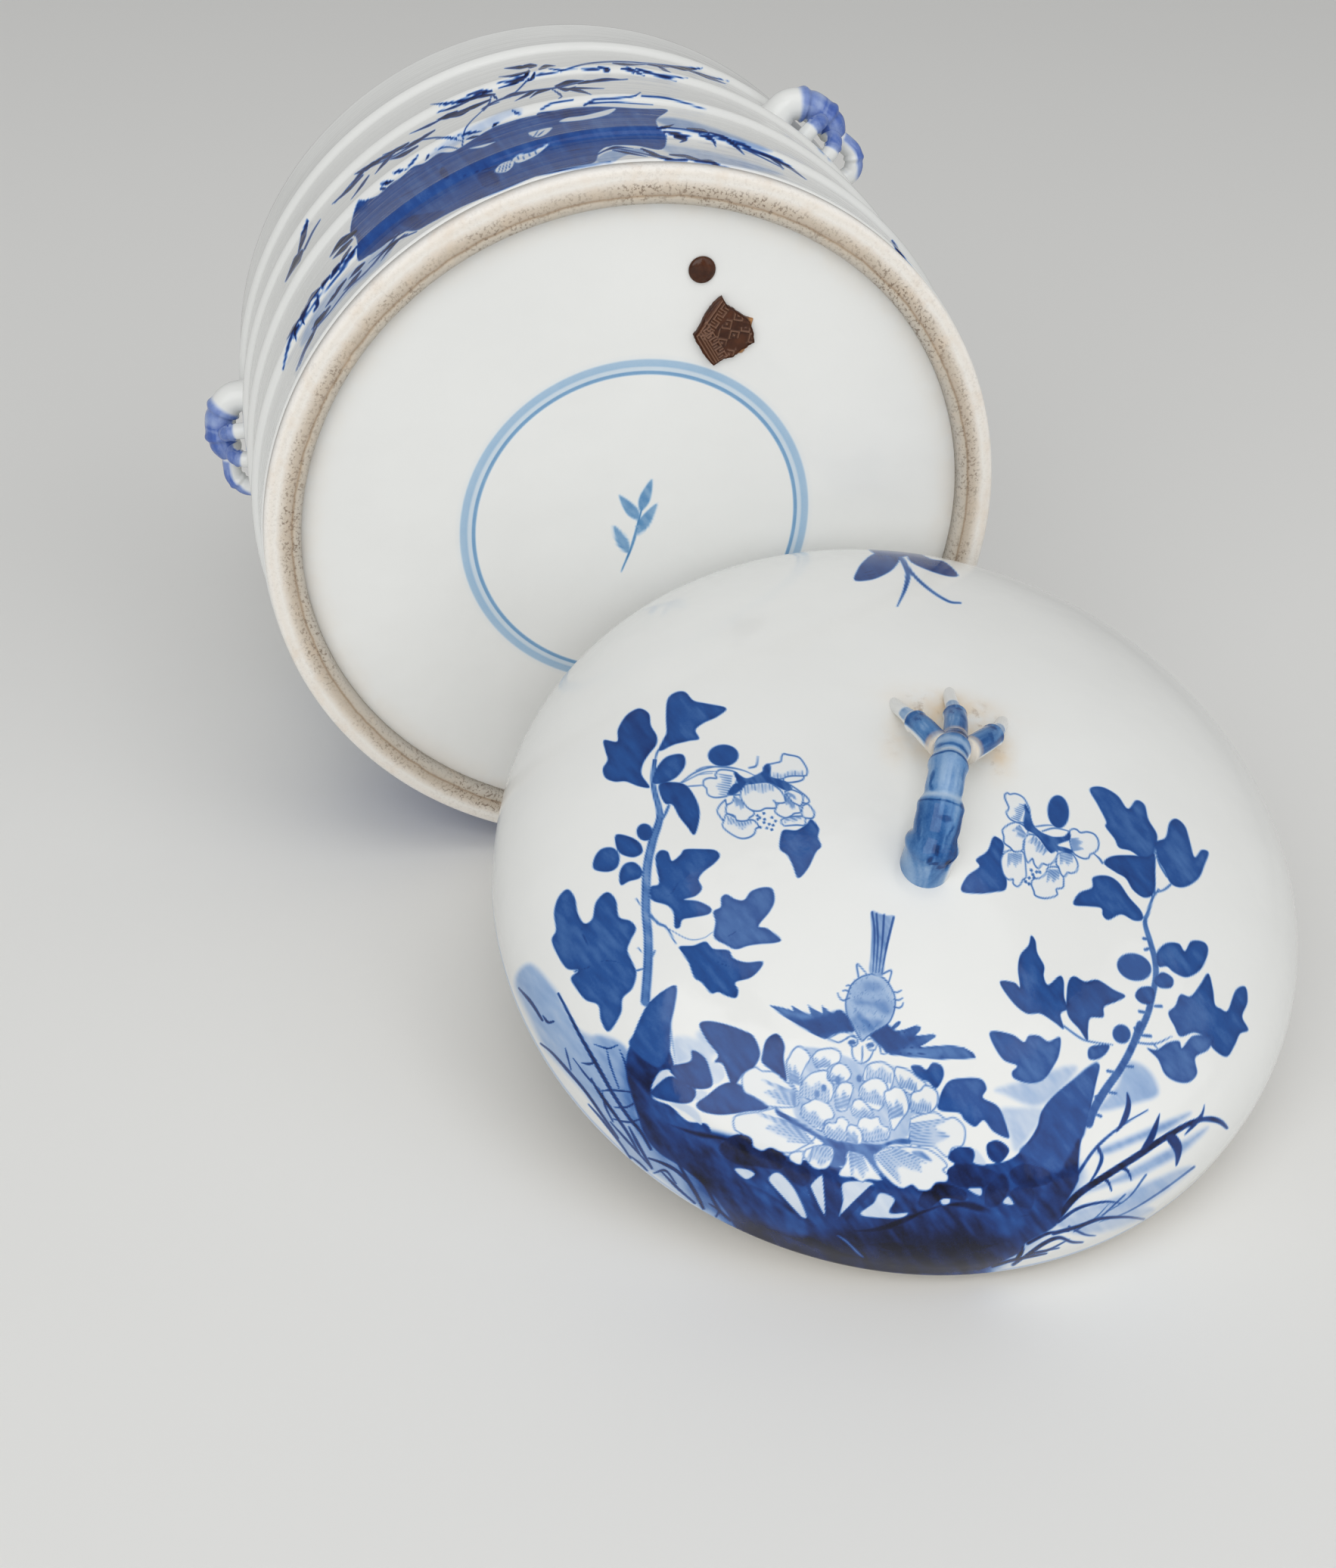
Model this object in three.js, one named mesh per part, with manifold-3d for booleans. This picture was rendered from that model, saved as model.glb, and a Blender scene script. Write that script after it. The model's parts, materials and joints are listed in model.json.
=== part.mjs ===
import * as THREE from 'three';
import { mergeVertices } from 'three/addons/utils/BufferGeometryUtils.js';
import Module from 'manifold-3d';

const wasm = await Module();
wasm.setup();

// Container, millimetres, standing on its foot with +Z up
const wallOuterRadius = 113;
const wallThickness = 6;
const containerHeight = 149;
const footHeight = 4.5;
const footInset = 0.6;
const footWidth = 11;
const footGrooveOffset = 5;
const footGrooveWidth = 1.2;
const footGrooveDepth = 0.5;
const baseThickness = 7;
const cornerRadius = 9;
const ridgeHeights = [30, 62, 93, 120];
const ridgeRise = 1.6;
const ridgeHalfWidth = 3.2;
const bandHollow = 0.7;

// Lid
const lidOuterRadius = 115;
const lidHeight = 57;
const lidRimHeight = 6;
const lidThickness = 5;
const lidCurve = 2.25;
const flangeDepth = 8;
const flangeThickness = 4.4;
const flangeLap = 8;
const flangeClearance = 1.6;

// Bamboo handles on the wall
const handleHeight = 110;
const handleAngles = { right_low: -5, right_high: -50, left_high: 175, left_low: 130 };
const handleStemRadius = 5.2;
const handleReach = 9;
const handleHalfSpan = 11;
const handleTwigRadius = 2.7;
const handleTwigSpread = 9;
const handleLoopRadius = 3.1;
const handleLoopSpan = 9;

// Bamboo finial on the lid
const finialStemRadius = 7.3;
const finialStemTaper = 0.4;
const finialRise = 17;
const finialBend = 2.4;
const finialHalfSpan = 26;
const finialStemEnd = 9;
const finialTwigRadius = 3.6;
const finialTwigSpread = 13;
const finialTwigLength = 20;
const finialTwigTaper = 0.5;

// Bamboo joints on every stem
const nodeSwell = 0.09;
const nodeWidth = 0.035;

// Sealing wax on the base
const waxDropRadius = 4;
const waxDropHeight = 1.6;
const waxDropPlace = [15.5, -81];
const waxSealThickness = 2;
const waxSealPlace = [23, -62];
const waxSealOutline = [[-5.1, -6.6], [-1.2, -11.5], [8.2, -5.9], [9.1, 6.4], [-2.6, 10.3], [-8.9, 0.5]];

// Clearance where clay pieces are luted together
const slipGap = 0.2;

// The lid stands tipped up from the floor, its upper edge leaning on the base inside the foot ring
const lidLean = 22;
const lidSideways = 57;
const leanGap = 0.3;

const turnSegments = 64;
// The lid is turned by whole segments, so that its round pieces stay as they are
const lidTurn = (-3 * 360) / turnSegments;
const mouthRadius = wallOuterRadius - wallThickness;
const flangeOuterRadius = mouthRadius - flangeClearance;
const flangeInnerRadius = flangeOuterRadius - flangeThickness;
const lidSeatRadius = flangeOuterRadius + slipGap;
const footOuterRadius = wallOuterRadius - footInset;
const footInnerRadius = footOuterRadius - footWidth;
const basePlane = footHeight + slipGap;

function clean(geometry) {
  geometry.deleteAttribute('normal');
  geometry.deleteAttribute('uv');
  const welded = mergeVertices(geometry, 1e-4);
  const source = welded.index.array;
  const kept = [];
  for (let i = 0; i < source.length; i += 3) {
    const [a, b, c] = [source[i], source[i + 1], source[i + 2]];
    if (a !== b && b !== c && c !== a) kept.push(a, b, c);
  }
  welded.setIndex(kept);
  return welded;
}

// A closed profile of [radius, height] points, run anticlockwise and turned round +Z
function turned(profile) {
  const points = profile.map(([r, z]) => new THREE.Vector2(r, z));
  const lathe = new THREE.LatheGeometry(points, turnSegments);
  lathe.rotateX(Math.PI / 2);
  return clean(lathe);
}

// A round stem along a smooth path, closed at both ends
function stem(path, radiusAt, sections, sides) {
  const curve = new THREE.CatmullRomCurve3(path);
  const frames = curve.computeFrenetFrames(sections, false);
  const positions = [];
  const indices = [];
  for (let i = 0; i <= sections; i += 1) {
    const centre = curve.getPointAt(i / sections);
    const radius = radiusAt(i / sections);
    for (let j = 0; j < sides; j += 1) {
      const turn = (2 * Math.PI * j) / sides;
      const point = centre.clone();
      point.addScaledVector(frames.normals[i], radius * Math.cos(turn));
      point.addScaledVector(frames.binormals[i], radius * Math.sin(turn));
      positions.push(point.x, point.y, point.z);
    }
  }
  for (let i = 0; i < sections; i += 1) {
    for (let j = 0; j < sides; j += 1) {
      const a = i * sides + j;
      const b = i * sides + ((j + 1) % sides);
      indices.push(a, b, a + sides);
      indices.push(b, b + sides, a + sides);
    }
  }
  for (const end of [0, sections]) {
    const centre = curve.getPointAt(end / sections);
    const hub = positions.length / 3;
    positions.push(centre.x, centre.y, centre.z);
    for (let j = 0; j < sides; j += 1) {
      const a = end * sides + j;
      const b = end * sides + ((j + 1) % sides);
      if (end === 0) indices.push(hub, b, a);
      else indices.push(hub, a, b);
    }
  }
  const geometry = new THREE.BufferGeometry();
  geometry.setAttribute('position', new THREE.Float32BufferAttribute(positions, 3));
  geometry.setIndex(indices);
  return geometry;
}

function solid(geometry) {
  return new wasm.Manifold(new wasm.Mesh({
    numProp: 3,
    vertProperties: new Float32Array(geometry.attributes.position.array),
    triVerts: new Uint32Array(geometry.index.array),
  }));
}

function surface(manifold) {
  const mesh = manifold.getMesh();
  const geometry = new THREE.BufferGeometry();
  geometry.setAttribute('position', new THREE.Float32BufferAttribute(mesh.vertProperties, 3));
  geometry.setIndex(Array.from(mesh.triVerts));
  return geometry;
}

function cut(geometry, ...tools) {
  return surface(tools.reduce((rest, tool) => rest.subtract(solid(tool)), solid(geometry)));
}

function piece(name, geometry, color, roughness) {
  const flat = geometry.toNonIndexed();
  flat.computeVertexNormals();
  const material = new THREE.MeshStandardMaterial({ color, roughness, metalness: 0 });
  const mesh = new THREE.Mesh(flat, material);
  mesh.name = name;
  return mesh;
}

const porcelain = 0xe3e6e8;
const cobalt = 0x5d7fbe;
const biscuit = 0xded3c3;
const wax = 0x4e2f22;

// Outside of the wall from the foot up: hollow bands between rounded ridges
function wallOutside(offset) {
  const points = [];
  const stops = [basePlane, ...ridgeHeights, containerHeight];
  for (let i = 0; i + 1 < stops.length; i += 1) {
    const low = stops[i] + (i > 0 ? ridgeHalfWidth : 0);
    const high = stops[i + 1] - (i + 2 < stops.length ? ridgeHalfWidth : 0);
    points.push([wallOuterRadius + offset, low]);
    points.push([wallOuterRadius - bandHollow + offset, (low + high) / 2]);
    points.push([wallOuterRadius + offset, high]);
    if (i + 2 < stops.length) {
      const crest = wallOuterRadius + ridgeRise + offset;
      points.push([crest - ridgeRise / 4, stops[i + 1] - ridgeHalfWidth / 2]);
      points.push([crest, stops[i + 1]]);
      points.push([crest - ridgeRise / 4, stops[i + 1] + ridgeHalfWidth / 2]);
    }
  }
  return points;
}

function shellProfile() {
  const floor = basePlane + baseThickness;
  const inside = [[mouthRadius, containerHeight]];
  for (let i = 0; i <= 4; i += 1) {
    const turn = (Math.PI / 2) * (i / 4);
    const r = mouthRadius - cornerRadius + cornerRadius * Math.cos(turn);
    inside.push([r, floor + cornerRadius - cornerRadius * Math.sin(turn)]);
  }
  return [[0, basePlane], ...wallOutside(0), ...inside, [0, floor]];
}

function footProfile() {
  const grooveStart = footInnerRadius + footGrooveOffset;
  const grooveMiddle = grooveStart + footGrooveWidth / 2;
  return [
    [footInnerRadius, 0],
    [grooveStart, 0],
    [grooveMiddle, footGrooveDepth],
    [grooveStart + footGrooveWidth, 0],
    [footOuterRadius, 0],
    [footOuterRadius, footHeight],
    [footInnerRadius, footHeight],
    [footInnerRadius, 0],
  ];
}

// The dome's cushion curve, from the rim up to the axis
function domeCurve(radius, low, high, steps) {
  const points = [];
  for (let i = 0; i <= steps; i += 1) {
    const turn = (Math.PI / 2) * (i / steps);
    const r = radius * Math.cos(turn) ** (2 / lidCurve);
    points.push([i === steps ? 0 : r, low + (high - low) * Math.sin(turn) ** (2 / lidCurve)]);
  }
  return points;
}

function lidProfile() {
  const insideRadius = lidOuterRadius - lidThickness;
  const inside = domeCurve(insideRadius, flangeLap, lidHeight - lidThickness, 10).reverse();
  const outside = domeCurve(lidOuterRadius, lidRimHeight, lidHeight, 14);
  return [
    [lidSeatRadius, 0],
    [lidOuterRadius, 0],
    ...outside,
    ...inside,
    [lidSeatRadius, flangeLap],
    [lidSeatRadius, 0],
  ];
}

function flangeProfile() {
  return [
    [flangeInnerRadius, -flangeDepth],
    [flangeOuterRadius, -flangeDepth],
    [flangeOuterRadius, flangeLap - slipGap],
    [flangeInnerRadius, flangeLap - slipGap],
    [flangeInnerRadius, -flangeDepth],
  ];
}

// Bamboo thickness along a stem: swollen at its joints, drawn in at its free end, and tapered if asked
function bamboo(radius, joints, endShare, taper = 0) {
  return (u) => {
    let swell = 0;
    for (const joint of joints) {
      swell += nodeSwell * Math.exp(-(((u - joint) / nodeWidth) ** 2));
    }
    const end = u > 0.9 ? 1 - (1 - endShare) * ((u - 0.9) / 0.1) ** 2 : 1;
    return radius * (1 + swell) * (1 - taper * u) * end;
  };
}

function thicker(radiusAt, gap) {
  return (u) => radiusAt(u) + gap;
}

const wallCutter = turned([[0, -footHeight], [wallOuterRadius, -footHeight],
  ...wallOutside(slipGap), [0, containerHeight]]);

// One handle: a stem that leaves the wall and arches along it, held at its end by twigs
function handle(name, angle, twigSide) {
  const group = new THREE.Group();
  const at = (along, out, up) => {
    const turn = THREE.MathUtils.degToRad(angle) + (twigSide * along) / wallOuterRadius;
    const r = wallOuterRadius + out;
    return new THREE.Vector3(r * Math.cos(turn), r * Math.sin(turn), handleHeight + up);
  };
  const span = handleHalfSpan;
  const stemPath = [
    at(-span - 0.5, -3, 0),
    at(-span + 0.3, handleReach * 0.45, 0.4),
    at(-span * 0.45, handleReach * 0.95, 0.6),
    at(span * 0.25, handleReach, 0.2),
    at(span * 0.8, handleReach * 0.72, -0.5),
  ];
  const stemRadius = bamboo(handleStemRadius, [0.42, 0.72], 0.7);
  const stemGeometry = stem(stemPath, stemRadius, 22, 14);
  const stemCutter = stem(stemPath, thicker(stemRadius, slipGap), 22, 14);
  group.add(piece(`handle_${name}_stem`, cut(stemGeometry, wallCutter), cobalt, 0.16));

  const twigs = {
    twig_upper: [at(0, 7.2, -2), at(-span * 0.15, 7.4, -handleTwigSpread * 0.75),
      at(-span * 0.3, 3.8, -handleTwigSpread - 0.6), at(-span * 0.33, -2.5, -handleTwigSpread - 1)],
    twig_lower: [at(span * 0.45, 6.4, -1.5), at(span * 0.58, 6.2, -handleTwigSpread * 0.7),
      at(span * 0.65, 2.6, -handleTwigSpread), at(span * 0.65, -2.5, -handleTwigSpread - 0.4)],
    twig_loop: [at(span * 0.6, 7.2, -0.4), at(span + 1, 8.2, -0.8),
      at(span + handleLoopSpan * 0.55, 8.2, -1.4), at(span + handleLoopSpan, 4.4, -2.2),
      at(span + handleLoopSpan * 0.93, -2.5, -2.6)],
  };
  for (const [twig, path] of Object.entries(twigs)) {
    const radius = twig === 'twig_loop' ? handleLoopRadius : handleTwigRadius;
    const geometry = stem(path, bamboo(radius, [0.5], 1), 12, 10);
    group.add(piece(`handle_${name}_${twig}`, cut(geometry, wallCutter, stemCutter), porcelain, 0.16));
  }
  return group;
}

const container = new THREE.Group();
container.name = 'container';
container.add(piece('container_shell', turned(shellProfile()), porcelain, 0.16));
container.add(piece('foot_ring', turned(footProfile()), biscuit, 0.85));
for (const [name, angle] of Object.entries(handleAngles)) {
  container.add(handle(name, angle, name.startsWith('right') ? 1 : -1));
}

const dropProfile = [[0, -waxDropHeight], [waxDropRadius * 0.55, -waxDropHeight * 0.85],
  [waxDropRadius * 0.9, -waxDropHeight * 0.4], [waxDropRadius, 0], [0, 0]];
const drop = new THREE.LatheGeometry(dropProfile.map(([r, z]) => new THREE.Vector2(r, z)), 20);
drop.rotateX(Math.PI / 2);
const waxDrop = piece('wax_drop', clean(drop), wax, 0.4);
waxDrop.position.set(waxDropPlace[0], waxDropPlace[1], basePlane - slipGap);
container.add(waxDrop);

const sealShape = new THREE.Shape(waxSealOutline.map(([x, y]) => new THREE.Vector2(x, y)));
const seal = new THREE.ExtrudeGeometry(sealShape, { depth: waxSealThickness, bevelEnabled: false });
const waxSeal = piece('wax_seal', clean(seal), wax, 0.4);
waxSeal.position.set(waxSealPlace[0], waxSealPlace[1], basePlane - slipGap - waxSealThickness);
container.add(waxSeal);

const lid = new THREE.Group();
lid.name = 'lid';
lid.add(piece('lid_dome', turned(lidProfile()), porcelain, 0.16));
lid.add(piece('lid_flange', turned(flangeProfile()), porcelain, 0.3));

const domeTop = domeCurve(lidOuterRadius + slipGap, lidRimHeight, lidHeight + slipGap, 14);
const domeCutter = turned([[0, 0], [lidOuterRadius + slipGap, 0], ...domeTop]);
const onDome = (x, y, h) => new THREE.Vector3(x, y, lidHeight + h);
const half = finialHalfSpan;
const finialPath = [
  onDome(-finialBend * 0.6, -half - 0.5, -7),
  onDome(-finialBend * 0.6, -half + 2.5, finialRise * 0.52),
  onDome(-finialBend * 0.4, -half * 0.45, finialRise * 0.95),
  onDome(0, -half * 0.1, finialRise * 0.95),
  onDome(finialBend * 0.6, finialStemEnd * 0.4, finialRise * 0.78),
  onDome(finialBend, finialStemEnd, finialRise * 0.52),
];
const finialRadius = bamboo(finialStemRadius, [0.27, 0.46, 0.67, 0.81], 0.8, finialStemTaper);
const finialStem = stem(finialPath, finialRadius, 28, 16);
const finialCutter = stem(finialPath, thicker(finialRadius, slipGap), 28, 16);
lid.add(piece('finial_stem', cut(finialStem, domeCutter), cobalt, 0.16));

const finialTwigs = { left: -1, middle: 0, right: 1 };
for (const [name, side] of Object.entries(finialTwigs)) {
  const start = finialStemEnd - (side === 0 ? 4 : 6);
  const out = finialTwigSpread * side;
  const reach = finialTwigLength * (side === 0 ? 1.2 : 1);
  const path = [
    onDome(finialBend * 0.7 + out * 0.25, start, finialRise * 0.72),
    onDome(finialBend + out * 0.68, start + reach * 0.4, finialRise * 0.52),
    onDome(finialBend + out, start + reach * 0.78, finialRise * 0.24),
    onDome(finialBend + out * 1.12, start + reach * 1.06, -6),
  ];
  const geometry = stem(path, bamboo(finialTwigRadius, [0.53], 1, finialTwigTaper), 14, 12);
  lid.add(piece(`finial_twig_${name}`, cut(geometry, domeCutter, finialCutter), porcelain, 0.16));
}

// The container lies on its side with its foot to the front
container.rotation.x = -Math.PI / 2;
const containerBox = new THREE.Box3().setFromObject(container, true);
container.position.z = -containerBox.min.z;

// The lid stands on its lower edge and leans towards the foot
lid.rotation.set(THREE.MathUtils.degToRad(lidLean), 0, THREE.MathUtils.degToRad(lidTurn));
const lidBox = new THREE.Box3().setFromObject(lid, true);
lid.position.set(lidSideways, basePlane - leanGap - lidBox.max.y, -lidBox.min.z);

// The origin is under the middle of the whole arrangement, on the floor
const assembly = new THREE.Group();
assembly.name = 'lidded_container';
assembly.add(container, lid);
const whole = new THREE.Box3().setFromObject(assembly, true);
const middle = whole.getCenter(new THREE.Vector3());
assembly.position.set(-middle.x, -middle.y, -whole.min.z);

export default assembly;
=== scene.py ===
import json
import math

import bpy
import numpy as np
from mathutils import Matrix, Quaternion, Vector


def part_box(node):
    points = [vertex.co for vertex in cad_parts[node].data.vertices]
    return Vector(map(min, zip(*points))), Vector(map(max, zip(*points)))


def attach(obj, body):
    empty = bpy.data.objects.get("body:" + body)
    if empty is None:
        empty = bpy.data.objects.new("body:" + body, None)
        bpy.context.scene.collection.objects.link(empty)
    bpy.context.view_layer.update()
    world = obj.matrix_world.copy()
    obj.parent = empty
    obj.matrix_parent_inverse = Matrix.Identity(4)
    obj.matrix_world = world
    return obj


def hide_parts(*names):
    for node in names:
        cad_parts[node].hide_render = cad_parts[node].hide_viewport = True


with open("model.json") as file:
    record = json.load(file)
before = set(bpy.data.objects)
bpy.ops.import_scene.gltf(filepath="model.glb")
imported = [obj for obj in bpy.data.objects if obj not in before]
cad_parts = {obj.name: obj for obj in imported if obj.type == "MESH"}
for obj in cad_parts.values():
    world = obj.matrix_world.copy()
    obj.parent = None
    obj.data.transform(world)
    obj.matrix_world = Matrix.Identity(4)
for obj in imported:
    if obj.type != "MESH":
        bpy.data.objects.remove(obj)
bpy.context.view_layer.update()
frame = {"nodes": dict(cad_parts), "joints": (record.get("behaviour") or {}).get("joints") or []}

mm = 0.001
scene = bpy.context.scene
print("frame loaded,", len(frame["nodes"]), "nodes")

# Places of the container and the lid, in mm
footLow, footHigh = (np.array(c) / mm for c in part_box("foot_ring"))
potSpot = np.array([(footLow[0] + footHigh[0]) / 2, footLow[1], (footLow[2] + footHigh[2]) / 2])
flangeLow, flangeHigh = (np.array(c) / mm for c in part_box("lid_flange"))
lidAxis = np.array(frame["joints"][0]["axis"], float)
lidSlope = np.array([0.0, lidAxis[2], -lidAxis[1]])  # up along the leaning rim plane
flangeMiddle = -0.1  # height of the flange's middle over the rim plane
lidSpot = (flangeLow + flangeHigh) / 2 - lidAxis * flangeMiddle


def potToWorld(p):
    return np.column_stack([potSpot[0] + p[:, 0], potSpot[1] + p[:, 2], potSpot[2] - p[:, 1]]) * mm


def lidToWorld(p):
    tilted = np.outer(p[:, 0], (1, 0, 0)) + np.outer(p[:, 1], lidSlope) + np.outer(p[:, 2], lidAxis)
    return (lidSpot + tilted) * mm


# The camera comes first, because the painting is laid out as it sees the lid
eye = {"place": (-0.148, -0.537, 0.409), "target": (-0.0235, -0.028, 0.063), "lens": 49.0, "sensor": 36.0,
       "roll": 0.062, "picture": (1766, 2072), "farthest": 50}


def eyeTurn():
    aim = (Vector(eye["target"]) - Vector(eye["place"])).to_track_quat("-Z", "Y")
    return aim @ Quaternion((0, 0, 1), eye["roll"])


def pictureSpot(p):  # where the camera sees points given in m, in picture units
    across, up, back = ((p - np.array(eye["place"])) @ np.array(eyeTurn().to_matrix())).T
    width, height = eye["picture"]
    reach = eye["lens"] / eye["sensor"] * height / -back
    return np.column_stack([width / 2 + across * reach, height / 2 - up * reach])


# Mesh making
def makePiece(name, points, quads, tris, marks):
    mesh = bpy.data.meshes.new(name)
    corners = np.concatenate([np.ravel(quads), np.ravel(tris)]).astype(np.int32)
    sizes = np.concatenate([np.full(len(quads), 4), np.full(len(tris), 3)])
    starts = np.concatenate([[0], np.cumsum(sizes)[:-1]]).astype(np.int32)
    mesh.vertices.add(len(points))
    mesh.loops.add(len(corners))
    mesh.polygons.add(len(sizes))
    mesh.vertices.foreach_set("co", points.astype(np.float32).ravel())
    mesh.loops.foreach_set("vertex_index", corners)
    mesh.polygons.foreach_set("loop_start", starts)
    mesh.polygons.foreach_set("use_smooth", np.ones(len(sizes), bool))
    mesh.update(calc_edges=True)
    mesh.validate()
    for mark, values in marks.items():
        layer = mesh.attributes.new(mark, "FLOAT", "POINT")
        layer.data.foreach_set("value", values.astype(np.float32))
    piece = bpy.data.objects.new(name, mesh)
    scene.collection.objects.link(piece)
    return piece


def settle(piece, body, nodes, material):
    piece.data.materials.append(material)
    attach(piece, body)
    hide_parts(*nodes)


def allRound(segments):
    return np.arange(segments) * 2 * math.pi / segments


def mostlyFacing(middle, share, dense, sparse):  # closer steps over the painted side, wider ones behind
    half = math.pi * share
    near = np.linspace(middle - half, middle + half, dense, endpoint=False)
    rest = np.linspace(middle + half, middle - half + 2 * math.pi, sparse, endpoint=False)
    return np.concatenate([near, rest])


def turn(profile, angles, closed=False):  # a profile of (radius, height) turned round the axis
    segments = len(angles)
    points, rings, count = [], [], 0
    for r, z in profile:
        spun = angles if r > 1e-6 else angles[:1]
        points.append(np.column_stack([r * np.cos(spun), r * np.sin(spun), np.full(len(spun), z)]))
        rings.append(np.arange(count, count + len(spun)))
        count += len(spun)
    quads, tris = [], []
    pairs = list(zip(rings[:-1], rings[1:]))
    if closed:
        pairs.append((rings[-1], rings[0]))
    for low, high in pairs:
        if len(low) == 1:
            tris.append(np.column_stack([np.full(segments, low[0]), np.roll(high, -1), high]))
        elif len(high) == 1:
            tris.append(np.column_stack([low, np.roll(low, -1), np.full(segments, high[0])]))
        else:
            quads.append(np.column_stack([low, np.roll(low, -1), np.roll(high, -1), high]))
    quads = np.concatenate(quads)
    tris = np.concatenate(tris) if tris else np.zeros((0, 3), int)
    ringOf = np.concatenate([np.full(len(ring), i) for i, ring in enumerate(rings)])
    return np.concatenate(points), quads, tris, ringOf


def smoothly(a, b, c, d, steps):  # the way from b to c, with a before it and d after it
    a, b, c, d = (q[:, None, :] for q in (a, b, c, d))
    t = np.linspace(0, 1, steps, endpoint=False)[None, :, None]
    curve = 0.5 * (2 * b + (c - a) * t + (2 * a - 5 * b + 4 * c - d) * t**2 + (3 * b - a - 3 * c + d) * t**3)
    return curve.reshape(-1, a.shape[-1])


def lineThrough(points, steps=8):  # a smooth open line through given points
    p = np.asarray(points, float)
    p = np.concatenate([[2 * p[0] - p[1]], p, [2 * p[-1] - p[-2]]])
    return np.concatenate([smoothly(p[:-3], p[1:-2], p[2:-1], p[3:], steps), p[-2:-1]])


def loopThrough(points, steps=6):  # the same, closed
    p = np.asarray(points, float)
    return smoothly(*(np.roll(p, k, 0) for k in (1, 0, -1, -2)), steps)


def evenly(path, count):  # the same line with evenly spaced points
    run = np.concatenate([[0], np.cumsum(np.linalg.norm(np.diff(path, axis=0), axis=1))])
    where = np.linspace(0, run[-1], count)
    return np.column_stack([np.interp(where, run, path[:, k]) for k in range(path.shape[1])])


# Painting: pigment is laid on the points of a fine mesh, over a flat sheet of (u, v) in mm
def cloud(u, v, size, seed):
    lattice = np.random.default_rng(seed).random((64, 64))
    x, y = u / size, v / size
    i, j = np.floor(x).astype(int), np.floor(y).astype(int)
    fx, fy = x - i, y - j
    fx, fy = fx * fx * (3 - 2 * fx), fy * fy * (3 - 2 * fy)
    at = lambda a, b: lattice[(i + a) % 64, (j + b) % 64]
    low = at(0, 0) * (1 - fx) + at(1, 0) * fx
    high = at(0, 1) * (1 - fx) + at(1, 1) * fx
    return low * (1 - fy) + high * fy


def newSheet(u, v, seen):
    u, v = (np.where(seen, k, 1e6) for k in (u, v))  # what isn't seen lies far off the sheet
    slant, run = u + 0.8 * v, 0.8 * u - v  # the brush was drawn slantwise
    mottle = 0.55 * cloud(slant, run / 4, 2.0, 3) + 0.25 * cloud(slant, run / 3, 0.9, 4) + 0.2 * cloud(u, v, 9.0, 5)
    return {"u": u, "v": v, "ink": np.zeros(len(u)), "mottle": mottle}


def nearby(sheet, shape, margin):
    low, high = shape.min(0) - margin, shape.max(0) + margin
    u, v = sheet["u"], sheet["v"]
    return np.nonzero((u > low[0]) & (u < high[0]) & (v > low[1]) & (v < high[1]))[0]


def depthInside(u, v, outline):  # mm inside the outline, negative outside
    best = np.full(len(u), 1e9)
    inside = np.zeros(len(u), bool)
    for (ax, ay), (bx, by) in zip(outline, np.roll(outline, -1, 0)):
        ex, ey = bx - ax, by - ay
        t = np.clip(((u - ax) * ex + (v - ay) * ey) / max(ex * ex + ey * ey, 1e-9), 0, 1)
        best = np.minimum(best, (u - ax - t * ex) ** 2 + (v - ay - t * ey) ** 2)
        if ay != by:
            crosses = (ay > v) != (by > v)
            inside ^= crosses & (u < ax + (v - ay) * ex / ey)
    return np.where(inside, 1, -1) * np.sqrt(best)


def ease(x):
    x = np.clip(x, 0, 1)
    return x * x * (3 - 2 * x)


def fill(sheet, points, tone, soft=0.6, mottle=0.12, smooth=True, over=False, pool=0.0):
    outline = loopThrough(points) if smooth else np.asarray(points, float)
    at = nearby(sheet, outline, 2 * soft)
    if not len(at):
        return
    depth = depthInside(sheet["u"][at], sheet["v"][at], outline)
    cover = ease(depth / soft + 0.5)
    tones = tone + mottle * (sheet["mottle"][at] - 0.5) * 2
    tones = np.clip(tones + pool * np.exp(-np.maximum(depth, 0) / 0.7), 0, 1)  # pigment gathers at the edge
    ink = sheet["ink"][at]
    if over:  # a wash that deepens what is below it
        sheet["ink"][at] = 1 - (1 - ink) * (1 - tones * cover)
    else:
        sheet["ink"][at] = ink * (1 - cover) + tones * cover


def stroke(sheet, points, width, tone, ends=(0.5, 0.2), soft=0.5, mottle=0.1):
    path = lineThrough(points) if len(points) > 2 else evenly(np.asarray(points, float), 5)
    share = np.linspace(0, 1, len(path))
    half = width / 2 * np.interp(share, (0, 0.4, 1), (ends[0], 1, ends[1]))
    at = nearby(sheet, path, width + soft)
    if not len(at):
        return
    u, v = sheet["u"][at], sheet["v"][at]
    depth = np.full(len(at), -1e9)
    for a, b, wa, wb in zip(path[:-1], path[1:], half[:-1], half[1:]):
        ex, ey = b - a
        t = np.clip(((u - a[0]) * ex + (v - a[1]) * ey) / max(ex * ex + ey * ey, 1e-9), 0, 1)
        gap = np.hypot(u - a[0] - t * ex, v - a[1] - t * ey)
        depth = np.maximum(depth, wa + (wb - wa) * t - gap)
    cover = ease(depth / soft + 0.5)
    tones = np.clip(tone + mottle * (sheet["mottle"][at] - 0.5) * 2, 0, 1)
    sheet["ink"][at] = np.maximum(sheet["ink"][at], tones * cover)


def sketchOn(corner, grain):  # a drawing as x, y, x, y with its own corner and units, to mm on the sheet
    return lambda points: np.reshape(points, (-1, 2)) * (1, -1) / grain + corner


def oval(centre, across, up, lean=0, count=14):
    a = np.arange(count) * 2 * math.pi / count
    x, y = across * np.cos(a), up * np.sin(a)
    c, s = math.cos(math.radians(lean)), math.sin(math.radians(lean))
    return np.column_stack([centre[0] + x * c - y * s, centre[1] + x * s + y * c])


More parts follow.
